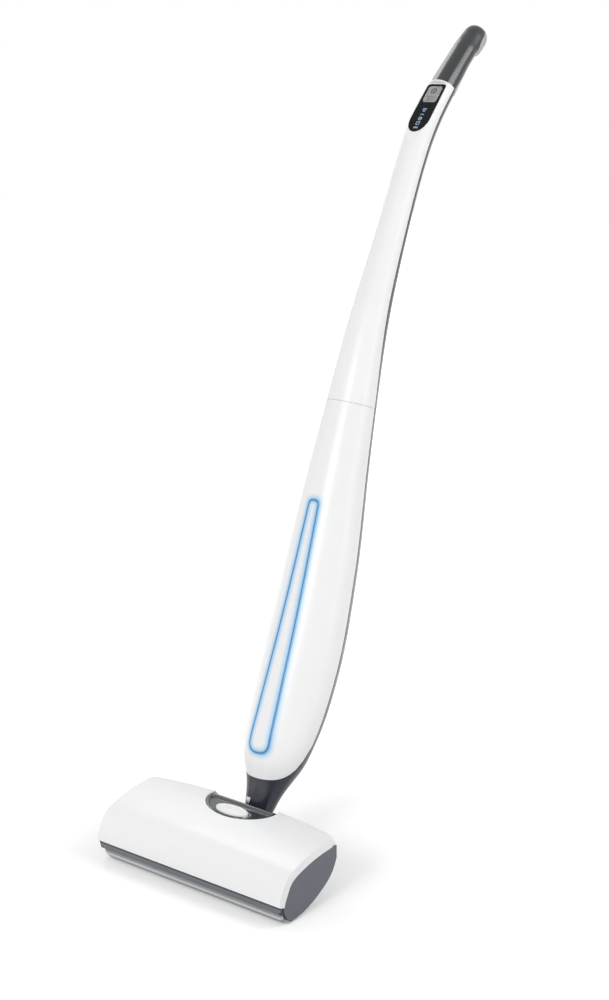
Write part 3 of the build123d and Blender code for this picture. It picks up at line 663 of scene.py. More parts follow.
def addEndRims(bm):
    # The cover turns down at both ends into a narrow rim round the end caps
    def atEnd(vert):
        return abs(abs(vert.co.x) - cover["half"] * mm) < cover["near"] * mm

    ends = [e for e in bm.edges if e.is_boundary and all(atEnd(v) for v in e.verts)]
    made = bmesh.ops.extrude_edge_only(bm, edges=ends)
    topY, edgeY = rearRows(cover["half"])
    for vert in made["geom"]:
        if isinstance(vert, bmesh.types.BMVert):
            y, z = rimPoint(vert.co.y / mm, vert.co.z / mm, topY, edgeY)
            vert.co.y, vert.co.z = y * mm, z * mm


makeCover()
print("cover made")


# Head: end caps, front band, lip

endCap = {
    "face": 164.5,
    "thickness": 4.2,
    "gap": 13.4,
    "rearStep": [(58.8, 75.4), (61.8, 75.4)],
    "belly": [(62, 58), (51, 38), (30, 22), (6, 10.5), (-17, 4), (-36, 2)],
    "front": [(-38.5, 3.4), (-43.5, 9), (-48.6, 16.5), (-50.6, 22.5), (-49.9, 27)],
    "archEnd": 60,
    "archSteps": 28,
    "archLimit": (54, 34),  # the arch is kept ahead of this depth and above this height
    "bellySteps": 30,
    "return": 12,
    "returnWall": 1.4,
    "returnRows": 4,
    "returnEdge": 0.4,
    "edge": 0.7,
    "edgeAngle": 40,
    "middleHeight": 40,
}


def capOutline():
    last, steps = coverPlace(endCap["archEnd"]), endCap["archSteps"]
    depth, height = endCap["archLimit"]
    points = [offsetCover(last * step / steps, endCap["gap"]) for step in range(steps + 1)]
    points = [(y, z) for y, z in points if y < depth and z > height]
    points += endCap["rearStep"]
    knots = list(range(len(endCap["belly"])))
    bellyY = smoothLine(knots, [y for y, z in endCap["belly"]])
    bellyZ = smoothLine(knots, [z for y, z in endCap["belly"]])
    for step in range(endCap["bellySteps"] + 1):
        place = knots[-1] * step / endCap["bellySteps"]
        points.append((bellyY(place), bellyZ(place)))
    return points + endCap["front"]


def makeEndCap(side, node):
    bm = bmesh.new()
    outer = side * endCap["face"]
    inside = (outer - side * endCap["thickness"] / 2, 0, endCap["middleHeight"])
    outline = [Vector((outer, y, z)) * mm for y, z in capOutline()]
    addPrism(bm, outline, (-side * endCap["thickness"] * mm, 0, 0))
    name = "endCapRight" if side > 0 else "endCapLeft"
    addPiece(name, bm, "mid_grey", "head", [node], inside, edge=endCap["edge"], edgeAngle=endCap["edgeAngle"])
    bm = bmesh.new()
    last = len(endCap["front"]) - 1

    def cornerPlace(u, w):
        y, z = endCap["front"][round(u * last)]
        return Vector((outer - side * (endCap["thickness"] + endCap["return"] * w), y, z)) * mm

    mappedGrid(bm, last, endCap["returnRows"], cornerPlace)
    addPiece(name + "Corner", bm, "mid_grey", "head", (), inside, endCap["returnWall"], endCap["returnEdge"])


makeEndCap(-1, "end_cap_left")
makeEndCap(1, "end_cap_right")

frontBand = {
    "half": 164.2,
    "top": (-56.7, 30.8),
    "bottom": (-54.4, 18),
    "bow": 0.5,
    "cornerRadius": 11,
    "cornerEase": 0.97,
    "columns": 80,
    "rows": 8,
    "wall": 2.2,
    "edge": 0.6,
    "inside": (0, 0, 30),
}


def makeFrontBand():
    bm = bmesh.new()
    (topY, topZ), (bottomY, bottomZ) = frontBand["top"], frontBand["bottom"]
    radius = frontBand["cornerRadius"]

    def place(u, w):
        reach = frontBand["half"] * math.sin(math.pi * (u - 0.5))
        lift = cornerLift(max(0, abs(reach) - frontBand["half"] + radius), radius, frontBand["cornerEase"])
        share = lerp(lift / (topZ - bottomZ), 1, w)
        y = lerp(bottomY, topY, share) - frontBand["bow"] * math.sin(math.pi * share)
        return Vector((reach, y, lerp(bottomZ, topZ, share))) * mm

    mappedGrid(bm, frontBand["columns"], frontBand["rows"], place)
    addPiece("frontBand", bm, "dark_grey", "head", (), frontBand["inside"], frontBand["wall"],
             frontBand["edge"], material=finishes["band_grey"])


makeFrontBand()

frontLip = {
    "left": -156,
    "right": 163.6,
    "top": 18.4,
    "leftCorner": 9,
    "rightCorner": 5,
    "cornerEase": 0.98,
    "cornerLine": -52,  # where the lower corners draw in to, wholly at this lift
    "cornerDraw": 11,
    "steps": 60,
    "edge": 0.2,
    "edgeAngle": 40,
    "bead": [(-54.6, 18.4), (-55.2, 17.9), (-55.4, 17.1), (-55.1, 16.2), (-54.3, 15.6), (-51.5, 15.6),
             (-51.5, 18.4)],
    "strip": [(-53.4, 14.9), (-54.4, 14.5), (-55.1, 13.4), (-55.3, 12.2), (-54.9, 11.2), (-53.9, 10.8),
              (-50.5, 10.8), (-50.5, 14.9)],
    "foot": [(-53.6, 10.9), (-53.2, 9.6), (-51.4, 7), (-48.4, 4.2), (-45.6, 2.8), (-44.4, 2.6),
             (-43.6, 2.9), (-43.6, 4.2), (-48, 9.6), (-50, 10.9)],
    "beadInside": (0, -53, 17),
    "stripInside": (0, -53, 13),
    "footInside": (0, -49, 7),
}


def makeLipStrip(name, part, slotName, finish, replaced):
    bm = bmesh.new()
    section = frontLip[part]
    count = len(section)

    def place(u, w):
        # Round the section, drawn out along X, with the lower corners rounded off
        y, z = section[round(u * count) % count]
        reach = lerp(frontLip["left"], frontLip["right"], 0.5 - 0.5 * math.cos(math.pi * w))
        radius = frontLip["leftCorner"] if reach < 0 else frontLip["rightCorner"]
        past = max(0, frontLip["left"] + radius - reach, reach - frontLip["right"] + radius)
        lift = cornerLift(past, radius, frontLip["cornerEase"])
        share = (frontLip["top"] - z) / frontLip["top"]
        drawn = lift / frontLip["cornerDraw"] * share
        return Vector((reach, lerp(y, frontLip["cornerLine"], drawn), z + lift * share)) * mm

    mappedGrid(bm, count, frontLip["steps"], place)
    closeEnds(bm)
    addPiece(name, bm, slotName, "head", replaced, frontLip[part + "Inside"], edge=frontLip["edge"],
             edgeAngle=frontLip["edgeAngle"], material=finishes[finish])


# The bead is lighter than the band above it: painted highlight
makeLipStrip("bandBead", "bead", "dark_grey", "bead_grey_painted_highlight", ())
# The strip is pale against the darker foot below: the lip's own colour and a painted highlight line
makeLipStrip("frontLip", "strip", "lip_clear", "lip_clear", ["front_lip"])
makeLipStrip("lipFoot", "foot", "lip_clear", "lip_foot", ())
print("head trim made")


# Head: bezel dish and release button

bezel = {
    "middle": 62,
    "halfX": 59,
    "halfY": 42,
    "rearFoot": (65, 71),
    "rearLip": (66.5, 91),
    "foot": 72,
    "floor": 85,
    "sunk": 0.8,
    "dishEdge": 7.5,
    "dishShares": (0.2, 0.45, 0.7, 0.9),
    "rim": [(6.3, -3.4), (5.4, -1.6), (4.4, -0.5), (3, 0), (1.4, -0.1), (0.5, -0.4), (0, -1.1)],
    "holeEdge": 0.5,
    "clear": 0.1,  # the rim stays this far above the dish
    "coverEnd": 80,
    "columns": 160,
    "wall": 1.6,
    "inside": (0, 50, 76),
}
button = {
    "middle": 38,
    "halfX": 27.2,
    "halfY": 12.6,
    "gap": 0.5,
    "foot": 78,
    "top": 90,
    "section": [(0, -12), (0, -1.6), (0.5, -0.6), (1.6, 0), (3, 0.1), (3.9, -0.2), (4.6, -0.75),
                (5.6, -0.85)],
    "dome": 0.5,
    "domeSteps": 4,
    "domeCentre": 1e-4,
    "columns": 96,
    "inside": (0, 38, 84),
}


def rayToOval(angle, inset, z):
    # From the button's middle out to the bezel's oval, or to its slanted rear face
    outX, outY = math.cos(angle), math.sin(angle)
    halfX, halfY = bezel["halfX"] - inset, bezel["halfY"] - inset
    start = (button["middle"] - bezel["middle"]) / halfY
    a = (outX / halfX) ** 2 + (outY / halfY) ** 2
    b = 2 * start * outY / halfY
    reach = (-b + math.sqrt(b * b - 4 * a * (start * start - 1))) / (2 * a)
    if outY > 0:
        (y0, z0), (y1, z1) = bezel["rearFoot"], bezel["rearLip"]
        rear = lerp(y0, y1, (z - z0) / (z1 - z0)) - inset
        reach = min(reach, (rear - button["middle"]) / outY)
    return reach * outX, button["middle"] + reach * outY


def ovalPoint(angle, halfX, halfY):
    # A point on the button's oval in the direction of the angle
    size = 1 / math.hypot(math.cos(angle) / halfX, math.sin(angle) / halfY)
    return size * math.cos(angle), button["middle"] + size * math.sin(angle)


def makeBezel():
    bm = bmesh.new()
    holeX, holeY = button["halfX"] + button["gap"], button["halfY"] + button["gap"]
    floor, holeEdge = bezel["floor"], bezel["holeEdge"]
    lowest = floor + bezel["clear"]
    rows = [("hole", 0, button["foot"]), ("hole", 0, floor - holeEdge), ("hole", holeEdge, floor)]
    rows += [("dish", share, floor) for share in bezel["dishShares"]]
    rows += [("rim", bezel["dishEdge"], None)] + [("rim", inset, drop) for inset, drop in bezel["rim"]]
    rows += [("foot", 0, bezel["foot"])]

    def place(u, w):
        angle = 2 * math.pi * u
        kind, amount, level = rows[round(w * (len(rows) - 1))]
        if kind == "hole":
            return Vector((*ovalPoint(angle, holeX + amount, holeY + amount), level)) * mm
        if kind == "dish":
            holeSpot = ovalPoint(angle, holeX + holeEdge, holeY + holeEdge)
            edgeSpot = rayToOval(angle, bezel["dishEdge"], floor)
            x, y = (lerp(a, b, amount) for a, b in zip(holeSpot, edgeSpot))
            return Vector((x, y, level)) * mm
        if kind == "foot":
            return Vector((*rayToOval(angle, 0, bezel["foot"]), level)) * mm
        x, y = rayToOval(angle, amount, floor)
        top = coverHeight(min(y, bezel["coverEnd"])) - bezel["sunk"]
        return Vector((x, y, lowest if level is None else max(top + level, lowest))) * mm

    mappedGrid(bm, bezel["columns"], len(rows) - 1, place)
    addPiece("buttonBezel", bm, "dark_grey", "head", ["button_bezel"], bezel["inside"], bezel["wall"],
             material=finishes["bezel_grey"])


def makeReleaseButton():
    bm = bmesh.new()
    section = button["section"]
    steps = len(section) + button["domeSteps"]

    def place(u, w):
        angle = 2 * math.pi * u
        index = round(w * steps)
        inset, drop = section[min(index, len(section) - 1)]
        halfX, halfY = button["halfX"] - inset, button["halfY"] - inset
        if index < len(section):
            return Vector((*ovalPoint(angle, halfX, halfY), button["top"] + drop)) * mm
        share = max((steps - index) / (button["domeSteps"] + 1), button["domeCentre"])
        x, y = ovalPoint(angle, halfX * share, halfY * share)
        return Vector((x, y, button["top"] + drop + button["dome"] * (1 - share * share))) * mm

    mappedGrid(bm, button["columns"], steps, place)
    closeEnds(bm)
    addPiece("releaseButton", bm, "white_gloss", "button", ["release_button"], button["inside"])


makeBezel()
makeReleaseButton()
print("bezel and button made")


# Roller sleeve

sleeve = {
    "y": -15,
    "z": 28,
    "radius": 28,
    "bore": 19.3,
    "half": 141,
    "columns": 150,
    "rows": 240,
    "endRows": 3,
    "edgeReach": 3.5,
    "edgeRound": 1.6,
    "skin": 0.1,
    "bands": 9,
    "twist": 6.4,
    "pile": 0.5,
    "pileMean": 0.55,
    "bandShare": 0.3,
    "tuftAlong": 0.16,
    "tuftAround": 4,
    "tufts": [(2.4, 0.6), (6.1, 0.4)],  # scale and share of each noise
}


def sleevePoint(x, radius, angle):
    return Vector((x, sleeve["y"] + radius * math.cos(angle), sleeve["z"] + radius * math.sin(angle))) * mm


def makeSleeve():
    bm = bmesh.new()
    half, bore, columns = sleeve["half"], sleeve["bore"], sleeve["columns"]

    def pileWall(u, w):
        angle = 2 * math.pi * u
        x = lerp(-half, half, w)
        inEdge = min(1, min(w, 1 - w) * half / sleeve["edgeReach"])
        around = sleeve["tuftAround"]
        spot = Vector((x * sleeve["tuftAlong"], math.cos(angle) * around, math.sin(angle) * around))
        tuft = sum(noise.noise(spot * scale) * share for scale, share in sleeve["tufts"])
        groove = math.cos(sleeve["bands"] * (angle + sleeve["twist"] * w))
        pile = min(0, sleeve["pile"] * (tuft - sleeve["pileMean"] + sleeve["bandShare"] * groove))
        radius = sleeve["radius"] - sleeve["skin"] - (1 - inEdge) * sleeve["edgeRound"] + pile
        return sleevePoint(x, radius, angle)

    mappedGrid(bm, columns, sleeve["rows"], pileWall)
    for end, x in ((0, -half), (1, half)):
        mappedGrid(bm, columns, sleeve["endRows"],
                   lambda u, w: pileWall(u % 1, end).lerp(sleevePoint(x, bore, 2 * math.pi * u), w))
    mappedGrid(bm, columns, 1, lambda u, w: sleevePoint(lerp(-half, half, w), bore, 2 * math.pi * u))
    finishes["microfibre"] = makeMicrofibre()
    addPiece("rollerSleeve", bm, "microfibre", "roller", ["roller_sleeve"])


microfibre = {
    "fibres": (1400, 4),  # scale and detail of each noise
    "tufts": (260, 3),
    "fibreShare": 0.6,
    "toneRange": (0.36, 0.64),
    "shade": (0.19, 0.3, 0.44, 1),
    "tone": (0.4, 0.53, 0.66, 1),
    "bump": 0.8,
    "depth": 1.2,
    "roughness": 0.95,
    "sheen": 0.6,
    "sheenRoughness": 0.5,
}


def makeMicrofibre():
    material, tree, bsdf = startMaterial("microfibre")
    spot = tree.nodes.new("ShaderNodeTexCoord").outputs["Object"]
    fibres = addNoise(tree, spot, *microfibre["fibres"])
    tufts = addNoise(tree, spot, *microfibre["tufts"])
    share = microfibre["fibreShare"]
    pile = addMath(tree, "MULTIPLY_ADD", fibres, share, addMath(tree, "MULTIPLY", tufts, 1 - share))
    # The colour follows the pile noise that drives the bump: the fibres' own grain, and painted shade where
    # the pile is low
    light = addRange(tree, pile, *microfibre["toneRange"], 0, 1)
    tree.links.new(addMix(tree, light, microfibre["shade"], microfibre["tone"]), bsdf.inputs["Base Color"])
    bump = tree.nodes.new("ShaderNodeBump")
    bump.inputs["Strength"].default_value = microfibre["bump"]
    bump.inputs["Distance"].default_value = microfibre["depth"] * mm
    tree.links.new(pile, bump.inputs["Height"])
    tree.links.new(bump.outputs[0], bsdf.inputs["Normal"])
    bsdf.inputs["Roughness"].default_value = microfibre["roughness"]
    bsdf.inputs["Sheen Weight"].default_value = microfibre["sheen"]
    bsdf.inputs["Sheen Roughness"].default_value = microfibre["sheenRoughness"]
    return material


makeSleeve()
print("roller sleeve made")


# Stick: skin of oval sections, front and rear shells

stick = {
    "pivot": (88, 52),
    "lean": math.radians(20.5),
    "depthRatio": 0.94,
    "stations": [  # height, rearward shift and half width of each oval section
        (19, 1.5, 21), (40, 4.5, 25.5), (63, 8.5, 33.5), (86, 10.5, 43.5), (112, 12.5, 50), (144, 17, 54),
        (191, 21.5, 56.8), (262, 24.5, 57.5), (331, 23, 55.2), (400, 19.5, 52), (470, 14, 47.2),
        (540, 9.5, 41.8), (609, 6.5, 36.8), (689, 3.5, 31.6), (760, 4.5, 27.5), (831, 9, 24.2),
        (904, 14.5, 22), (964, 20, 21.4), (1014, 28, 21.9), (1050, 39, 22), (1092, 57.5, 21),
        (1120, 70, 20.2),
    ],
    "partingLow": [  # the white shell's lower edge: depth and height
        (-70, 53), (-22, 63), (-4, 72), (12, 95), (24, 124),
    ],
    "partingJoin": (191, 262),  # stations where that edge has turned into the side parting
    "parting": math.asin(0.2),
    "partingHigh": 0.02,
    "partingRise": 3,
    "partingFrom": 124,
    "partingGuard": 0.002,
    "footLowest": 55,
    "footGap": 0.15,
    "seam": 604.5,
    "seamGap": 0.3,
    "edgeGap": 0.004,
    "screws": [170, 330, 505, 660, 880],
    "screwHole": 3.2,
    "screwHead": 1,
    "crossHalf": 1.8,
    "crossThick": 0.3,
    "crossProud": 0.04,
    "crossDepth": 0.3,
    "socket": 560,
    "socketHole": 6.1,
    "holeMargin": 3.2,
    "wall": 2,
    "edge": 0.45,
    "upperEdgeAngle": 65,
    "gripGap": 0.06,
}
heights = [s for s, v, a in stick["stations"]]
stickShift = smoothLine(heights, [v for s, v, a in stick["stations"]])
stickHalf = smoothLine(heights, [a for s, v, a in stick["stations"]])
joinDepth = stick["depthRatio"] * math.sin(stick["parting"])
partingSpots = stick["partingLow"] + [
    (v + joinDepth * a, s) for s, v, a in stick["stations"] if s in stick["partingJoin"]]
partingLine = smoothLine([s for v, s in partingSpots], [v for v, s in partingSpots])


def stickPoint(x, v, s):
    # From the upright frame of the stick to the frame of the whole object
    lean = stick["lean"]
    y = stick["pivot"][0] + v * math.cos(lean) + s * math.sin(lean)
    z = stick["pivot"][1] + s * math.cos(lean) - v * math.sin(lean)
    return Vector((x, y, z)) * mm


def skinPoint(angle, s, inset=0):
    # Angle 0 is the +X side, -90 degrees the front
    halfX = stickHalf(s)
    v = stickShift(s) + (halfX * stick["depthRatio"] - inset) * math.sin(angle)
    return stickPoint((halfX - inset) * math.cos(angle), v, s)


def stickSpot(spot):
    # The way back: from the frame of the whole object to x, depth and height on the stick
    lean = stick["lean"]
    y, z = spot.y / mm - stick["pivot"][0], spot.z / mm - stick["pivot"][1]
    return spot.x / mm, y * math.cos(lean) - z * math.sin(lean), y * math.sin(lean) + z * math.cos(lean)


def openHole(bm, height, radius):
    # A round opening in the rear skin with an even ring of faces about it
    reach = radius + stick["holeMargin"]
    taken = set()
    for face in bm.faces:
        x, v, s = stickSpot(face.calc_center_median())
        if v > stickShift(height) and math.hypot(x, s - height) < reach:
            taken.add(face)
    edges = [e for face in taken for e in face.edges if sum(f in taken for f in e.link_faces) == 1]

    def turnOf(vert):
        x, v, s = stickSpot(vert.co)
        return math.atan2(s - height, x)

    outer = sorted({v for e in edges for v in e.verts}, key=turnOf)
    inner = []
    for vert in outer:
        x, s = radius * math.cos(turnOf(vert)), height + radius * math.sin(turnOf(vert))
        inner.append(bm.verts.new(skinPoint(math.acos(x / stickHalf(s)), s)))
    bmesh.ops.delete(bm, geom=list(taken), context="FACES")
    for index in range(len(outer)):
        bm.faces.new((outer[index - 1], outer[index], inner[index], inner[index - 1]))


def frontFoot(angle):
    # Height where the rounded lower edge of the white shell crosses this angle
    def ahead(s):
        return partingLine(s) - stickShift(s) - stickHalf(s) * stick["depthRatio"] * math.sin(angle)

    return solveFor(ahead, stick["footLowest"], stick["partingFrom"])


def stickMiddle(height):
    # A point on the middle line of the stick, to tell inside from outside
    return stickPoint(0, stickShift(height), height) / mm


# Light ring: a tapered loop on the front
loop = {
    "low": 115.6,
    "lowRadius": 19,
    "high": 451.5,
    "highRadius": 10.5,
    "square": 2.6,  # 2 would make the ends half circles
    "width": 4,
    "crown": 0.25,
    "gap": 0.1,
    "wall": 1.6,
    "windowEdge": 0.3,
    "arc": 26,  # columns round each end and along each side, and rows of each piece
    "side": 84,
    "shellRows": 26,
    "ringRows": 6,
    "windowRows": 8,
    "middle": 330,
}
loopLength = loop["high"] - loop["low"]
loopTaper = math.asin((loop["lowRadius"] - loop["highRadius"]) / loopLength)
loopColumns = 2 * (loop["arc"] + loop["side"])


def loopSpot(index):
    # Centre height, radius and outward direction of a column of the loop, its stretch and the share along it
    low, high = (loop["low"], loop["lowRadius"]), (loop["high"], loop["highRadius"])
    right, left = loopTaper, math.pi - loopTaper
    stretches = [("low", loop["arc"], low, low, left, 2 * math.pi + right),
                 ("right", loop["side"], low, high, right, right),
                 ("high", loop["arc"], high, high, right, left),
                 ("left", loop["side"], high, low, left, left)]
    index = index % loopColumns
    for part, count, start, end, turnFrom, turnTo in stretches:
        if index <= count:
            share = index / count
            centre, radius = (lerp(a, b, share) for a, b in zip(start, end))
            return centre, radius, lerp(turnFrom, turnTo, share), part, share
        index -= count


def loopPoint(index, extra, shrink=1):
    # Angle on the stick and height of a point beside the loop
    centre, radius, turn, part, share = loopSpot(index)
    reach = (radius + extra) * shrink
    if part in ("low", "high"):
        power = loop["square"]
        reach /= (abs(math.cos(turn)) ** power + abs(math.sin(turn)) ** power) ** (1 / power)
    s = centre + reach * math.sin(turn)
    return -math.acos(reach * math.cos(turn) / stickHalf(s)), s


def shellRim(index):
    # The point of the white shell's edge that belongs to a column of the loop
    centre, radius, turn, part, share = loopSpot(index)
    right = stick["parting"] - stick["edgeGap"]
    left = -math.pi - right
    top = stick["seam"] - stick["seamGap"] / 2
    footGap = stick["footGap"]
    if part == "low":
        angle = lerp(left, right, share)
        return angle, frontFoot(angle) + footGap
    if part == "right":
        return right, lerp(frontFoot(right) + footGap, top, share)
    if part == "high":
        return lerp(right, left, share), top
    return left, lerp(top, frontFoot(left) + footGap, share)


def makeFrontLower():
    bm = bmesh.new()

    def place(u, w):
        index = round(u * loopColumns)
        angle0, s0 = loopPoint(index, loop["gap"])
        angle1, s1 = shellRim(index)
        return skinPoint(lerp(angle0, angle1, w), lerp(s0, s1, w))

    mappedGrid(bm, loopColumns, loop["shellRows"], place)
    addPiece("frontShellLower", bm, "white_gloss", "stick", ["front_shell_lower"],
             stickMiddle(loop["middle"]), stick["wall"], stick["edge"], material=whiteWithPaintedGlow)


def makeLightRing():
    bm = bmesh.new()

    def place(u, w):
        angle, s = loopPoint(round(u * loopColumns), -loop["width"] * w)
        return skinPoint(angle, s, -loop["crown"] * math.sin(math.pi * w))

    mappedGrid(bm, loopColumns, loop["ringRows"], place)
    addPiece("lightRing", bm, "light_blue", "stick", ["light_ring"], stickMiddle(loop["middle"]),
             loop["wall"])


def makeLightWindow():
    bm = bmesh.new()

    def place(u, w):
        return skinPoint(*loopPoint(round(u * loopColumns), -loop["width"] - loop["gap"], 1 - w))

    mappedGrid(bm, loopColumns, loop["windowRows"], place)
    addPiece("lightWindow", bm, "white_gloss", "stick", ["light_window"], stickMiddle(loop["middle"]),
             loop["wall"], loop["windowEdge"], material=whiteWithPaintedGlow)


# The lit ring's own blue line, and a painted glow: a pale blue tint and faint light put into the ring and the
# white shell round it, standing in for the ring's light
lineAndPaintedGlow = {
    "line": (0.03, 0.172, 0.375, 1),
    "lineLight": (0.004, 0.026, 0.06, 1),
    "lineEdge": (0.6, 1.5),
    "paintedGlow": (0.245, 0.53, 0.8, 1),
    "paintedGlowLight": (0.005, 0.015, 0.03, 1),
    "paintedGlowStart": 1.1,
    "paintedGlowReach": 10,
    "paintedGlowPower": 1.7,
    "frontDepth": 10,
    "ring": {**plastics["white_gloss"], "tone": (0.62, 0.78, 0.94), "shade": (0.58, 0.75, 0.92)},
}


def makeLoopGroup():
    # A line along the middle of the light ring, and a painted glow that falls off with the distance from it
    group, given, out = newGroup("loopLineAndPaintedGlow", [], [("Line", "NodeSocketFloat"), ("PaintedGlow", "NodeSocketFloat")])
    spot = group.nodes.new("ShaderNodeTexCoord").outputs["Object"]
    place = group.nodes.new("ShaderNodeMapping")
    place.vector_type = "TEXTURE"
    place.inputs["Location"].default_value = stickPoint(0, 0, loop["low"])
    place.inputs["Rotation"].default_value = (-stick["lean"], 0, 0)
    group.links.new(spot, place.inputs["Vector"])
    parts = group.nodes.new("ShaderNodeSeparateXYZ")
    group.links.new(place.outputs[0], parts.inputs[0])

    def work(operation, *values):
        return addMath(group, operation, *values)

    across = work("ABSOLUTE", parts.outputs["X"])
    height = parts.outputs["Z"]
    share = work("DIVIDE", work("MULTIPLY_ADD", across, math.tan(loopTaper), height), loopLength * mm)
    share = work("MINIMUM", work("MAXIMUM", share, 0.0), 1.0)
    away = work("ABSOLUTE", work("SUBTRACT", height, work("MULTIPLY", share, loopLength * mm)))
    power = loop["square"]
    total = work("ADD", work("POWER", across, power), work("POWER", away, power))
    lowRadius = (loop["lowRadius"] - loop["width"] / 2) * mm
    radius = work("MULTIPLY_ADD", share, (loop["highRadius"] - loop["lowRadius"]) * mm, lowRadius)
    distance = work("ABSOLUTE", work("SUBTRACT", work("POWER", total, 1 / power), radius))
    ahead = addRange(group, parts.outputs["Y"], 0.0, lineAndPaintedGlow["frontDepth"] * mm, 1, 0)
    line = addRange(group, distance, *(edge * mm for edge in lineAndPaintedGlow["lineEdge"]), 1, 0)
    fall = work("MULTIPLY_ADD", distance, -1 / (lineAndPaintedGlow["paintedGlowReach"] * mm), lineAndPaintedGlow["paintedGlowStart"])
    fall = work("MINIMUM", work("MAXIMUM", fall, 0.0), 1.0)
    paintedGlow = work("POWER", fall, lineAndPaintedGlow["paintedGlowPower"])
    group.links.new(work("MULTIPLY", line, ahead), out.inputs["Line"])
    group.links.new(work("MULTIPLY", paintedGlow, ahead), out.inputs["PaintedGlow"])
    return group


def makeWithPaintedGlow(name, look):
    material = makePlastic(name, look)
    tree = material.node_tree
    bsdf = tree.nodes["Principled BSDF"]
    ring = tree.nodes.new("ShaderNodeGroup")
    ring.node_tree = loopGroup
    plain = bsdf.inputs["Base Color"].links[0].from_socket
    # Painted glow: near the ring the base colour turns pale blue and the emission gives faint light, in front
    # only
    paintedGlowTone = addMix(tree, ring.outputs["PaintedGlow"], plain, lineAndPaintedGlow["paintedGlow"])
    tree.links.new(addMix(tree, ring.outputs["Line"], paintedGlowTone, lineAndPaintedGlow["line"]), bsdf.inputs["Base Color"])
    dark = addMix(tree, ring.outputs["PaintedGlow"], (0, 0, 0, 1), lineAndPaintedGlow["paintedGlowLight"])
    tree.links.new(addMix(tree, ring.outputs["Line"], dark, lineAndPaintedGlow["lineLight"]), bsdf.inputs["Emission Color"])
    bsdf.inputs["Emission Strength"].default_value = 1
    return material


loopGroup = makeLoopGroup()
# White plastic with the ring's painted glow, for the lower front shell and the window
whiteWithPaintedGlow = makeWithPaintedGlow("whiteWithPaintedGlow", plastics["white_gloss"])
finishes["light_blue"] = makeWithPaintedGlow("light_blue", lineAndPaintedGlow["ring"])
makeFrontLower()
makeLightRing()
makeLightWindow()
print("lower front shell and light ring made")


rearLower = {"columns": 60, "frontColumns": 90, "footRows": 22, "rows": 90, "middle": 200}


def makeRearLower():
    bm = bmesh.new()
    right = stick["parting"] + stick["edgeGap"]
    left = math.pi - right
    join = stick["partingFrom"]
    top = stick["seam"] - stick["seamGap"] / 2
    bottom = heights[0]
    furthest = stick["parting"] - stick["partingGuard"]
    columns, footRows = rearLower["columns"], rearLower["footRows"]

    def frontPatch(u, w):
        angle = lerp(left - 2 * math.pi, right, u)
        inner = min(max(angle, -math.pi - furthest), furthest)
        rim = join if u in (0, 1) else frontFoot(inner) - stick["footGap"]
        return skinPoint(angle, lerp(bottom, rim, w))

    def rearPatch(low, high):
        return lambda u, w: skinPoint(lerp(right, left, u), lerp(low, high, w))

    mappedGrid(bm, rearLower["frontColumns"], footRows, frontPatch)
    mappedGrid(bm, columns, footRows, rearPatch(bottom, join))
    mappedGrid(bm, columns, rearLower["rows"], rearPatch(join, top))
    bmesh.ops.remove_doubles(bm, verts=bm.verts, dist=weldReach)
    for height in stick["screws"]:
        if height < top:
            openHole(bm, height, stick["screwHole"])
    openHole(bm, stick["socket"], stick["socketHole"])
    addPiece("rearShellLower", bm, "dark_grey", "stick", ["rear_shell_lower"],
             stickMiddle(rearLower["middle"]), stick["wall"], stick["edge"])


# Grip, on its own axis at the top of the stick
grip = {
    "foot": (57, 1088),
    "angle": math.radians(24),
    "sections": [  # place along the axis, shift, half width and half depth
        (-6, 0, 20.4, 19.4), (20, 0, 19.8, 18.4), (48, 0.3, 18.8, 16.8), (70, 1.4, 18.5, 16.5),
        (76, 2.2, 18.4, 16.9), (81, 4.4, 18.4, 18.8), (92, 7, 18.2, 19.8), (104, 8.4, 17.8, 19.8),
        (124, 9.8, 17.4, 19.6),
    ],
    "stickReach": (1040, 1119),  # heights on the stick between which the grip starts
    "start": -3,
    "roundFrom": 99,
    "end": 120.5,
    "split": [(-4, 10), (16, 14), (40, 38), (66, 40), (78, 20), (88, 2), (98, -6), (122, -8)],
    "straightShare": 0.76,  # of the rows, before the rounded end
    "endReach": 0.8,
    "endFullness": 0.54,
    "tip": 0.999,
    "startGap": 0.05,
    "rows": 80,
    "shellColumns": 64,
    "insertColumns": 40,
    "wall": 2.4,
    "edge": 0.35,
    "edgeAngle": 60,
    "middle": (0, 4, 60),
}
panel = {
    "depth": 13.3,
    "slope": 0.034,
    "from": -94.5,
    "to": -6.6,
    "halfTop": 16.2,
    "halfLow": 17.4,
    "corner": 5.5,
    "tail": 25,
    "thickness": 2.2,
    "proud": 0.25,
    "cutReach": 0.001,
    "collar": (-5.7, -4.7),
    "rest": 2.5,
    "cornerSteps": 8,
    "sideSteps": 5,
    "tailSteps": 24,
    "tailPower": 0.95,
    "edge": 0.3,
    "edgeAngle": 40,
    "middle": (0, -70, -1),
    "ringSteps": 32,
    "ringWeld": 0.005,
}


def gripPoint(x, u, t):
    # Along the grip's axis (t) and across it, u towards the underside
    foot, angle = grip["foot"], grip["angle"]
    v = foot[0] + u * math.cos(angle) + t * math.sin(angle)
    s = foot[1] - u * math.sin(angle) + t * math.cos(angle)
    return stickPoint(x, v, s)


def gripTop(angle):
    # Height where the stick's skin meets the foot plane of the grip
    def above(s):
        v = stickShift(s) + stickHalf(s) * stick["depthRatio"] * math.sin(angle) - grip["foot"][0]
        return v * math.sin(grip["angle"]) + (s - grip["foot"][1]) * math.cos(grip["angle"]) - grip["start"]

    return solveFor(above, *grip["stickReach"])


upperShell = {"frontColumns": 64, "rearColumns": 48, "rows": 130, "middle": 800}


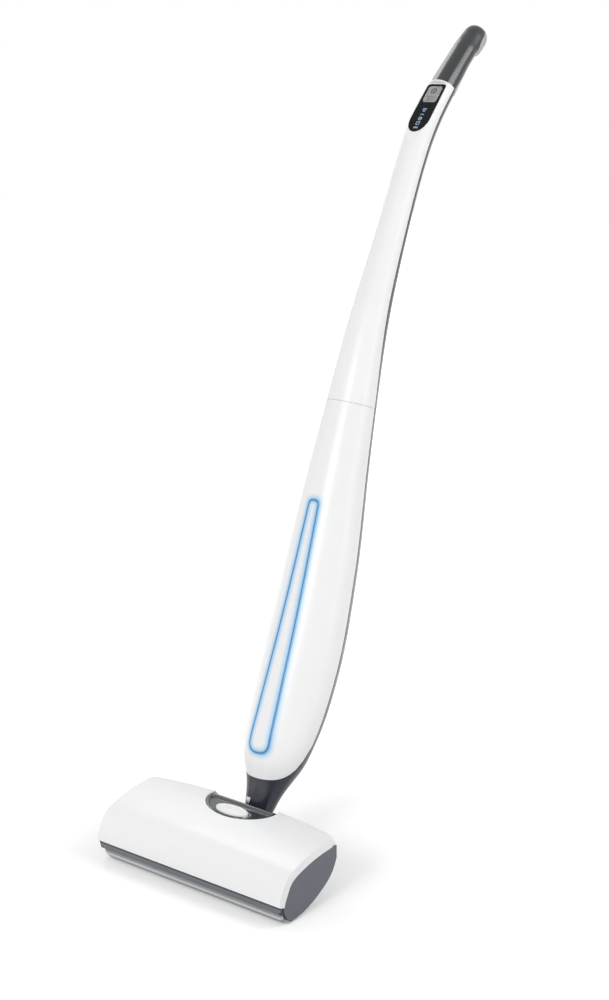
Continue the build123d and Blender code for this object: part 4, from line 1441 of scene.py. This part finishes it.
def makeUpperShells():
    bottom = stick["seam"] + stick["seamGap"] / 2
    inside = stickMiddle(upperShell["middle"])
    gap = 2 * stick["edgeGap"]

    def shell(front):
        def place(u, w):
            # The dark rear comes further round the sides towards the top
            rise = min(1, w * stick["partingRise"])
            parting = lerp(stick["parting"], stick["partingHigh"], rise * rise * (3 - 2 * rise))
            right = parting - gap if front else parting + gap
            angle = lerp(-math.pi - right, right, u) if front else lerp(right, math.pi - right, u)
            return skinPoint(angle, lerp(bottom, gripTop(angle) - stick["gripGap"], w))
        return place

    bm = bmesh.new()
    mappedGrid(bm, upperShell["frontColumns"], upperShell["rows"], shell(True))
    flatten(bm)
    addPiece("frontShellUpper", bm, "white_gloss", "stick", ["front_shell_upper"], inside, stick["wall"],
             stick["edge"], stick["upperEdgeAngle"])
    bm = bmesh.new()
    mappedGrid(bm, upperShell["rearColumns"], upperShell["rows"], shell(False))
    bmesh.ops.remove_doubles(bm, verts=bm.verts, dist=weldReach)
    for height in stick["screws"]:
        if height > bottom:
            openHole(bm, height, stick["screwHole"])
    addPiece("rearShellUpper", bm, "dark_grey", "stick", ["rear_shell_upper"], inside, stick["wall"],
             stick["edge"], stick["upperEdgeAngle"])


def makeScrewCrosses():
    # The cross in the head of every screw of the stick
    bm = bmesh.new()
    half, thick = stick["crossHalf"], stick["crossThick"]
    inward = stickPoint(0, -stick["crossDepth"], 0) - stickPoint(0, 0, 0)
    for height in stick["screws"]:
        head = stickShift(height) + stickHalf(height) * stick["depthRatio"] - stick["screwHead"]
        for sideX, sideS in ((half, thick), (thick, half)):
            corners = [(-sideX, -sideS), (sideX, -sideS), (sideX, sideS), (-sideX, sideS)]
            addPrism(bm, [stickPoint(x, head + stick["crossProud"], height + s) for x, s in corners], inward)
    addPiece("screwCrosses", bm, "black_plastic", "stick")


def panelPoint(x, along, lift):
    # On the sloping plane of the panel, at a height above it
    return gripPoint(x, -panel["depth"] - panel["slope"] * along - lift, along)


def panelHalf(along):
    share = (along - panel["from"]) / (panel["to"] - panel["from"])
    return lerp(panel["halfLow"], panel["halfTop"], share)


def flatten(bm):
    # Cuts the skin on the panel's plane, moves what stands in front of it down onto it, up to a collar
    # at the grip, and opens it under the panel
    origin = panelPoint(0, 0, 0)
    along = (panelPoint(0, 1, 0) - origin).normalized()
    ahead = along.cross(Vector((1, 0, 0)))
    if ahead.y > 0:
        ahead.negate()
    low, high = panel["collar"]
    cuts = [(origin, ahead), (origin + along * low * mm, along), (origin + along * high * mm, along)]
    for spot, facing in cuts:
        geometry = bm.verts[:] + bm.edges[:] + bm.faces[:]
        cut = bmesh.ops.bisect_plane(bm, geom=geometry, dist=panel["cutReach"] * mm, plane_co=spot,
                                     plane_no=facing)
        for edge in cut["geom_cut"]:
            if isinstance(edge, bmesh.types.BMEdge) and facing is ahead:
                edge.smooth = False
    for vert in bm.verts:
        proud = (vert.co - origin).dot(ahead)
        height = (vert.co - origin).dot(along) / mm
        if proud > 0:
            vert.co -= ahead * proud * min(1, max(0, (high - height) / (high - low)))
    hidden = []
    for face in bm.faces:
        spots = [(v.co - origin).dot(along) / mm for v in face.verts]
        flat = all(abs((v.co - origin).dot(ahead)) < sliverReach for v in face.verts)
        within = min(spots) > panel["from"] + panel["tail"] and max(spots) < panel["to"] - panel["rest"]
        half = panelHalf(min(spots)) - panel["rest"]
        if flat and within and max(abs(v.co.x) for v in face.verts) < half * mm:
            hidden.append(face)
    bmesh.ops.delete(bm, geom=hidden, context="FACES")


makeRearLower()
makeUpperShells()
makeScrewCrosses()
print("stick shells made")


def makeGrip():
    places = [row[0] for row in grip["sections"]]
    shift, halfX, halfU = (smoothLine(places, [row[i] for row in grip["sections"]]) for i in (1, 2, 3))
    splitTurns = [math.radians(degrees) for t, degrees in grip["split"]]
    split = smoothLine([t for t, degrees in grip["split"]], splitTurns)
    straight, roundFrom = grip["straightShare"], grip["roundFrom"]

    def patch(insert):
        def place(u, w):
            if w <= straight:
                t, scale = lerp(grip["start"] + grip["startGap"], roundFrom, w / straight), 1
            else:
                bend = math.pi / 2 * (w - straight) / (1 - straight)
                t = roundFrom + (grip["end"] - roundFrom) * math.sin(bend) ** grip["endReach"]
                scale = math.cos(bend) ** grip["endFullness"] if w < grip["tip"] else 0
            edge = split(t)
            angle = lerp(edge, math.pi - edge, u) if insert else lerp(math.pi - edge, 2 * math.pi + edge, u)
            across = halfX(t) * scale * math.cos(angle)
            return gripPoint(across, shift(t) + halfU(t) * scale * math.sin(angle), t)
        return place

    middle = gripPoint(*grip["middle"]) / mm
    for name, slotName, node, insert in (("gripShell", "grip_grey", "grip_shell", False),
                                         ("gripInsert", "grip_soft", "grip_insert", True)):
        bm = bmesh.new()
        columns = grip["insertColumns"] if insert else grip["shellColumns"]
        mappedGrid(bm, columns, grip["rows"], patch(insert))
        addPiece(name, bm, slotName, "stick", [node], middle, grip["wall"], grip["edge"], grip["edgeAngle"])


makeGrip()
print("grip made")


# Control panel, power button and display marks

powerKey = {
    "from": -40.5,
    "to": -10.9,
    "halfWidth": 11.8,
    "corner": 4.5,
    "gap": 0.4,
    "top": 0.85,
    "foot": -3,
    "edge": 0.8,
    "markSunk": 0.2,
    "markProud": 0.1,
    "markRing": (-20, 4.3, 0.55),  # place along the panel, radius, half thickness
    "markArc": (-20.2, 2, 0.35),
    "markArcGap": 40,
    "markBar": (-18.6, 0.35, 1.3),
    "ribs": (-30, -33, -36),
    "ribHalf": 6.5,
    "ribThick": 0.55,
    "ribProud": 0.35,
    "ribEdge": 0.2,
}


def cornerPoints(x, along, radius, low=False):
    # A quarter round, from the top to the side or from the side to the bottom
    points = []
    for step in range(panel["cornerSteps"] + 1):
        turn = math.pi / 2 * step / panel["cornerSteps"]
        out, up = math.sin(turn), math.cos(turn)
        if low:
            out, up = up, -out
        points.append((x + radius * out, along + radius * up))
    return points


def panelOutline():
    # Round corners at the top, sides that flare, a wide round tail; as many points as the key's opening has
    start, end, corner, tail = panel["from"], panel["to"], panel["corner"], panel["tail"]
    sideSteps, power = panel["sideSteps"], panel["tailPower"]
    points = cornerPoints(panelHalf(end - corner) - corner, end - corner, corner)
    for step in range(sideSteps):
        height = lerp(end - corner, start + tail, (step + 1) / (sideSteps + 1))
        points.append((panelHalf(height), height))
    mirrored = [(-x, height) for x, height in reversed(points)]
    low = panelHalf(start + tail)
    for step in range(panel["tailSteps"] + 1):
        turn = math.pi * step / panel["tailSteps"]
        across = math.copysign(abs(math.cos(turn)) ** power, math.cos(turn))
        points.append((low * across, start + tail - tail * max(0, math.sin(turn)) ** power))
    return points + mirrored


def keyOutline(extra):
    # A rounded rectangle whose points lie in the same order as those of the panel's outline
    half, corner = powerKey["halfWidth"] + extra, powerKey["corner"] + extra
    start, end = powerKey["from"] - extra, powerKey["to"] + extra
    sideSteps = panel["sideSteps"]
    points = cornerPoints(half - corner, end - corner, corner)
    for step in range(sideSteps):
        points.append((half, lerp(end - corner, start + corner, (step + 1) / (sideSteps + 1))))
    points += cornerPoints(half - corner, start + corner, corner, low=True)
    flat = (panel["tailSteps"] - 2 * panel["cornerSteps"]) // 2
    middle = [((half - corner) * (1 - (step + 1) / flat), start) for step in range(2 * flat - 1)]
    return points + middle + [(-x, height) for x, height in reversed(points)]


def makePanel():
    # A plate with an opening for the key: over the top, down the outside, back below, up the opening
    bm = bmesh.new()
    outer, inner = panelOutline(), keyOutline(powerKey["gap"])
    count = len(outer)
    top, below = panel["proud"], -panel["thickness"]
    rings = [(0, top), (0.5, top), (1, top), (1, below), (0, below), (0, top)]

    def place(u, w):
        index = round(u * count) % count
        share, lift = rings[round(w * (len(rings) - 1))]
        x, along = (lerp(a, b, share) for a, b in zip(inner[index], outer[index]))
        return panelPoint(x, along, lift)

    mappedGrid(bm, count, len(rings) - 1, place)
    addPiece("controlPanel", bm, "panel_black", "stick", ["control_panel"],
             panelPoint(*panel["middle"]) / mm, edge=panel["edge"], edgeAngle=panel["edgeAngle"])


def addPlate(bm, points, low, high):
    down = panelPoint(0, 0, low) - panelPoint(0, 0, high)
    addPrism(bm, [panelPoint(x, along, high) for x, along in points], down)


def barOutline(x, along, half, thick, tilt=0):
    corners = [(-half, -thick), (half, -thick), (half, thick), (-half, thick)]
    turn = math.radians(tilt)
    return [(x + a * math.cos(turn) - b * math.sin(turn), along + a * math.sin(turn) + b * math.cos(turn))
            for a, b in corners]


def addRing(bm, along, radius, thick, low, high, gap=0):
    # A flat ring on the panel's middle line, open at the top when a gap is asked for
    count = panel["ringSteps"]
    turns = [math.radians(lerp(90 + gap, 450 - gap, step / count)) for step in range(count + 1)]
    loops = [(radius - thick, low), (radius + thick, low), (radius + thick, high), (radius - thick, high)]

    def place(u, w):
        turn = turns[round(u * count)]
        reach, lift = loops[round(w * 4) % 4]
        return panelPoint(reach * math.cos(turn), along + reach * math.sin(turn), lift)

    mappedGrid(bm, count, 4, place)
    if gap:
        closeEnds(bm, panel["ringWeld"] * mm)


def makePowerKey():
    top = powerKey["top"]
    low, high = top - powerKey["markSunk"], top + powerKey["markProud"]
    bm = bmesh.new()
    addPlate(bm, keyOutline(0), powerKey["foot"], top)
    addPiece("powerButton", bm, "button_silver", "power_key", ["power_button"], edge=powerKey["edge"],
             edgeAngle=panel["edgeAngle"])
    bm = bmesh.new()
    addRing(bm, *powerKey["markRing"], low, high)
    addRing(bm, *powerKey["markArc"], low, high, powerKey["markArcGap"])
    addPlate(bm, barOutline(0, *powerKey["markBar"]), low, high)
    addPiece("powerMark", bm, "panel_black", "power_key")
    bm = bmesh.new()
    for along in powerKey["ribs"]:
        rib = barOutline(0, along, powerKey["ribHalf"], powerKey["ribThick"])
        addPlate(bm, rib, low, top + powerKey["ribProud"])
    addPiece("keyRibs", bm, "button_silver", "power_key", edge=powerKey["ribEdge"],
             edgeAngle=panel["edgeAngle"])


# Five plain marks: bars, a chevron, a dot in a ring, a square and a short row
marks = {
    "sunk": 0.15,
    "proud": 0.06,
    "ring": (-70.6, 2.6, 0.6),
    "bars": [  # x, place along the panel, half length, half thickness, tilt
        (0, -52.4, 3.2, 0.6, 0), (0, -54.8, 3.2, 0.6, 0), (0, -57.2, 1.8, 0.6, 0),
        (-1.4, -63, 2.1, 0.6, 40), (1.4, -63, 2.1, 0.6, -40),
        (0, -70.6, 0.8, 0.8, 0),
        (0, -76.4, 3, 0.55, 0), (0, -81.6, 3, 0.55, 0), (-2.5, -79, 2.1, 0.55, 90), (2.5, -79, 2.1, 0.55, 90),
        (-2.6, -87, 0.85, 1.6, 0), (0, -87, 0.85, 1.6, 0), (2.6, -87, 0.85, 1.6, 0),
    ],
    "look": {**plastics["white_gloss"], "tone": (0.24, 0.37, 0.53), "shade": (0.22, 0.34, 0.5)},
    "light": (0.42, 0.58, 0.8, 1),
    "lightStrength": 0.22,
}


def makeDisplayMarks():
    low, high = panel["proud"] - marks["sunk"], panel["proud"] + marks["proud"]
    bm = bmesh.new()
    addRing(bm, *marks["ring"], low, high)
    for bar in marks["bars"]:
        addPlate(bm, barOutline(*bar), low, high)
    material = makePlastic("markLight", marks["look"])
    bsdf = material.node_tree.nodes["Principled BSDF"]
    bsdf.inputs["Emission Color"].default_value = marks["light"]
    bsdf.inputs["Emission Strength"].default_value = marks["lightStrength"]
    addPiece("displayMarks", bm, "light_blue", "stick", material=material)


makePanel()
makePowerKey()
makeDisplayMarks()
print("panel made")


# Every CAD piece that still shows takes the finish of its slot

for row in frame["record"]["subparts"]:
    node = frame["nodes"][row["node"]]
    node.data.materials.clear()
    node.data.materials.append(finishes[row["material_slot"]])
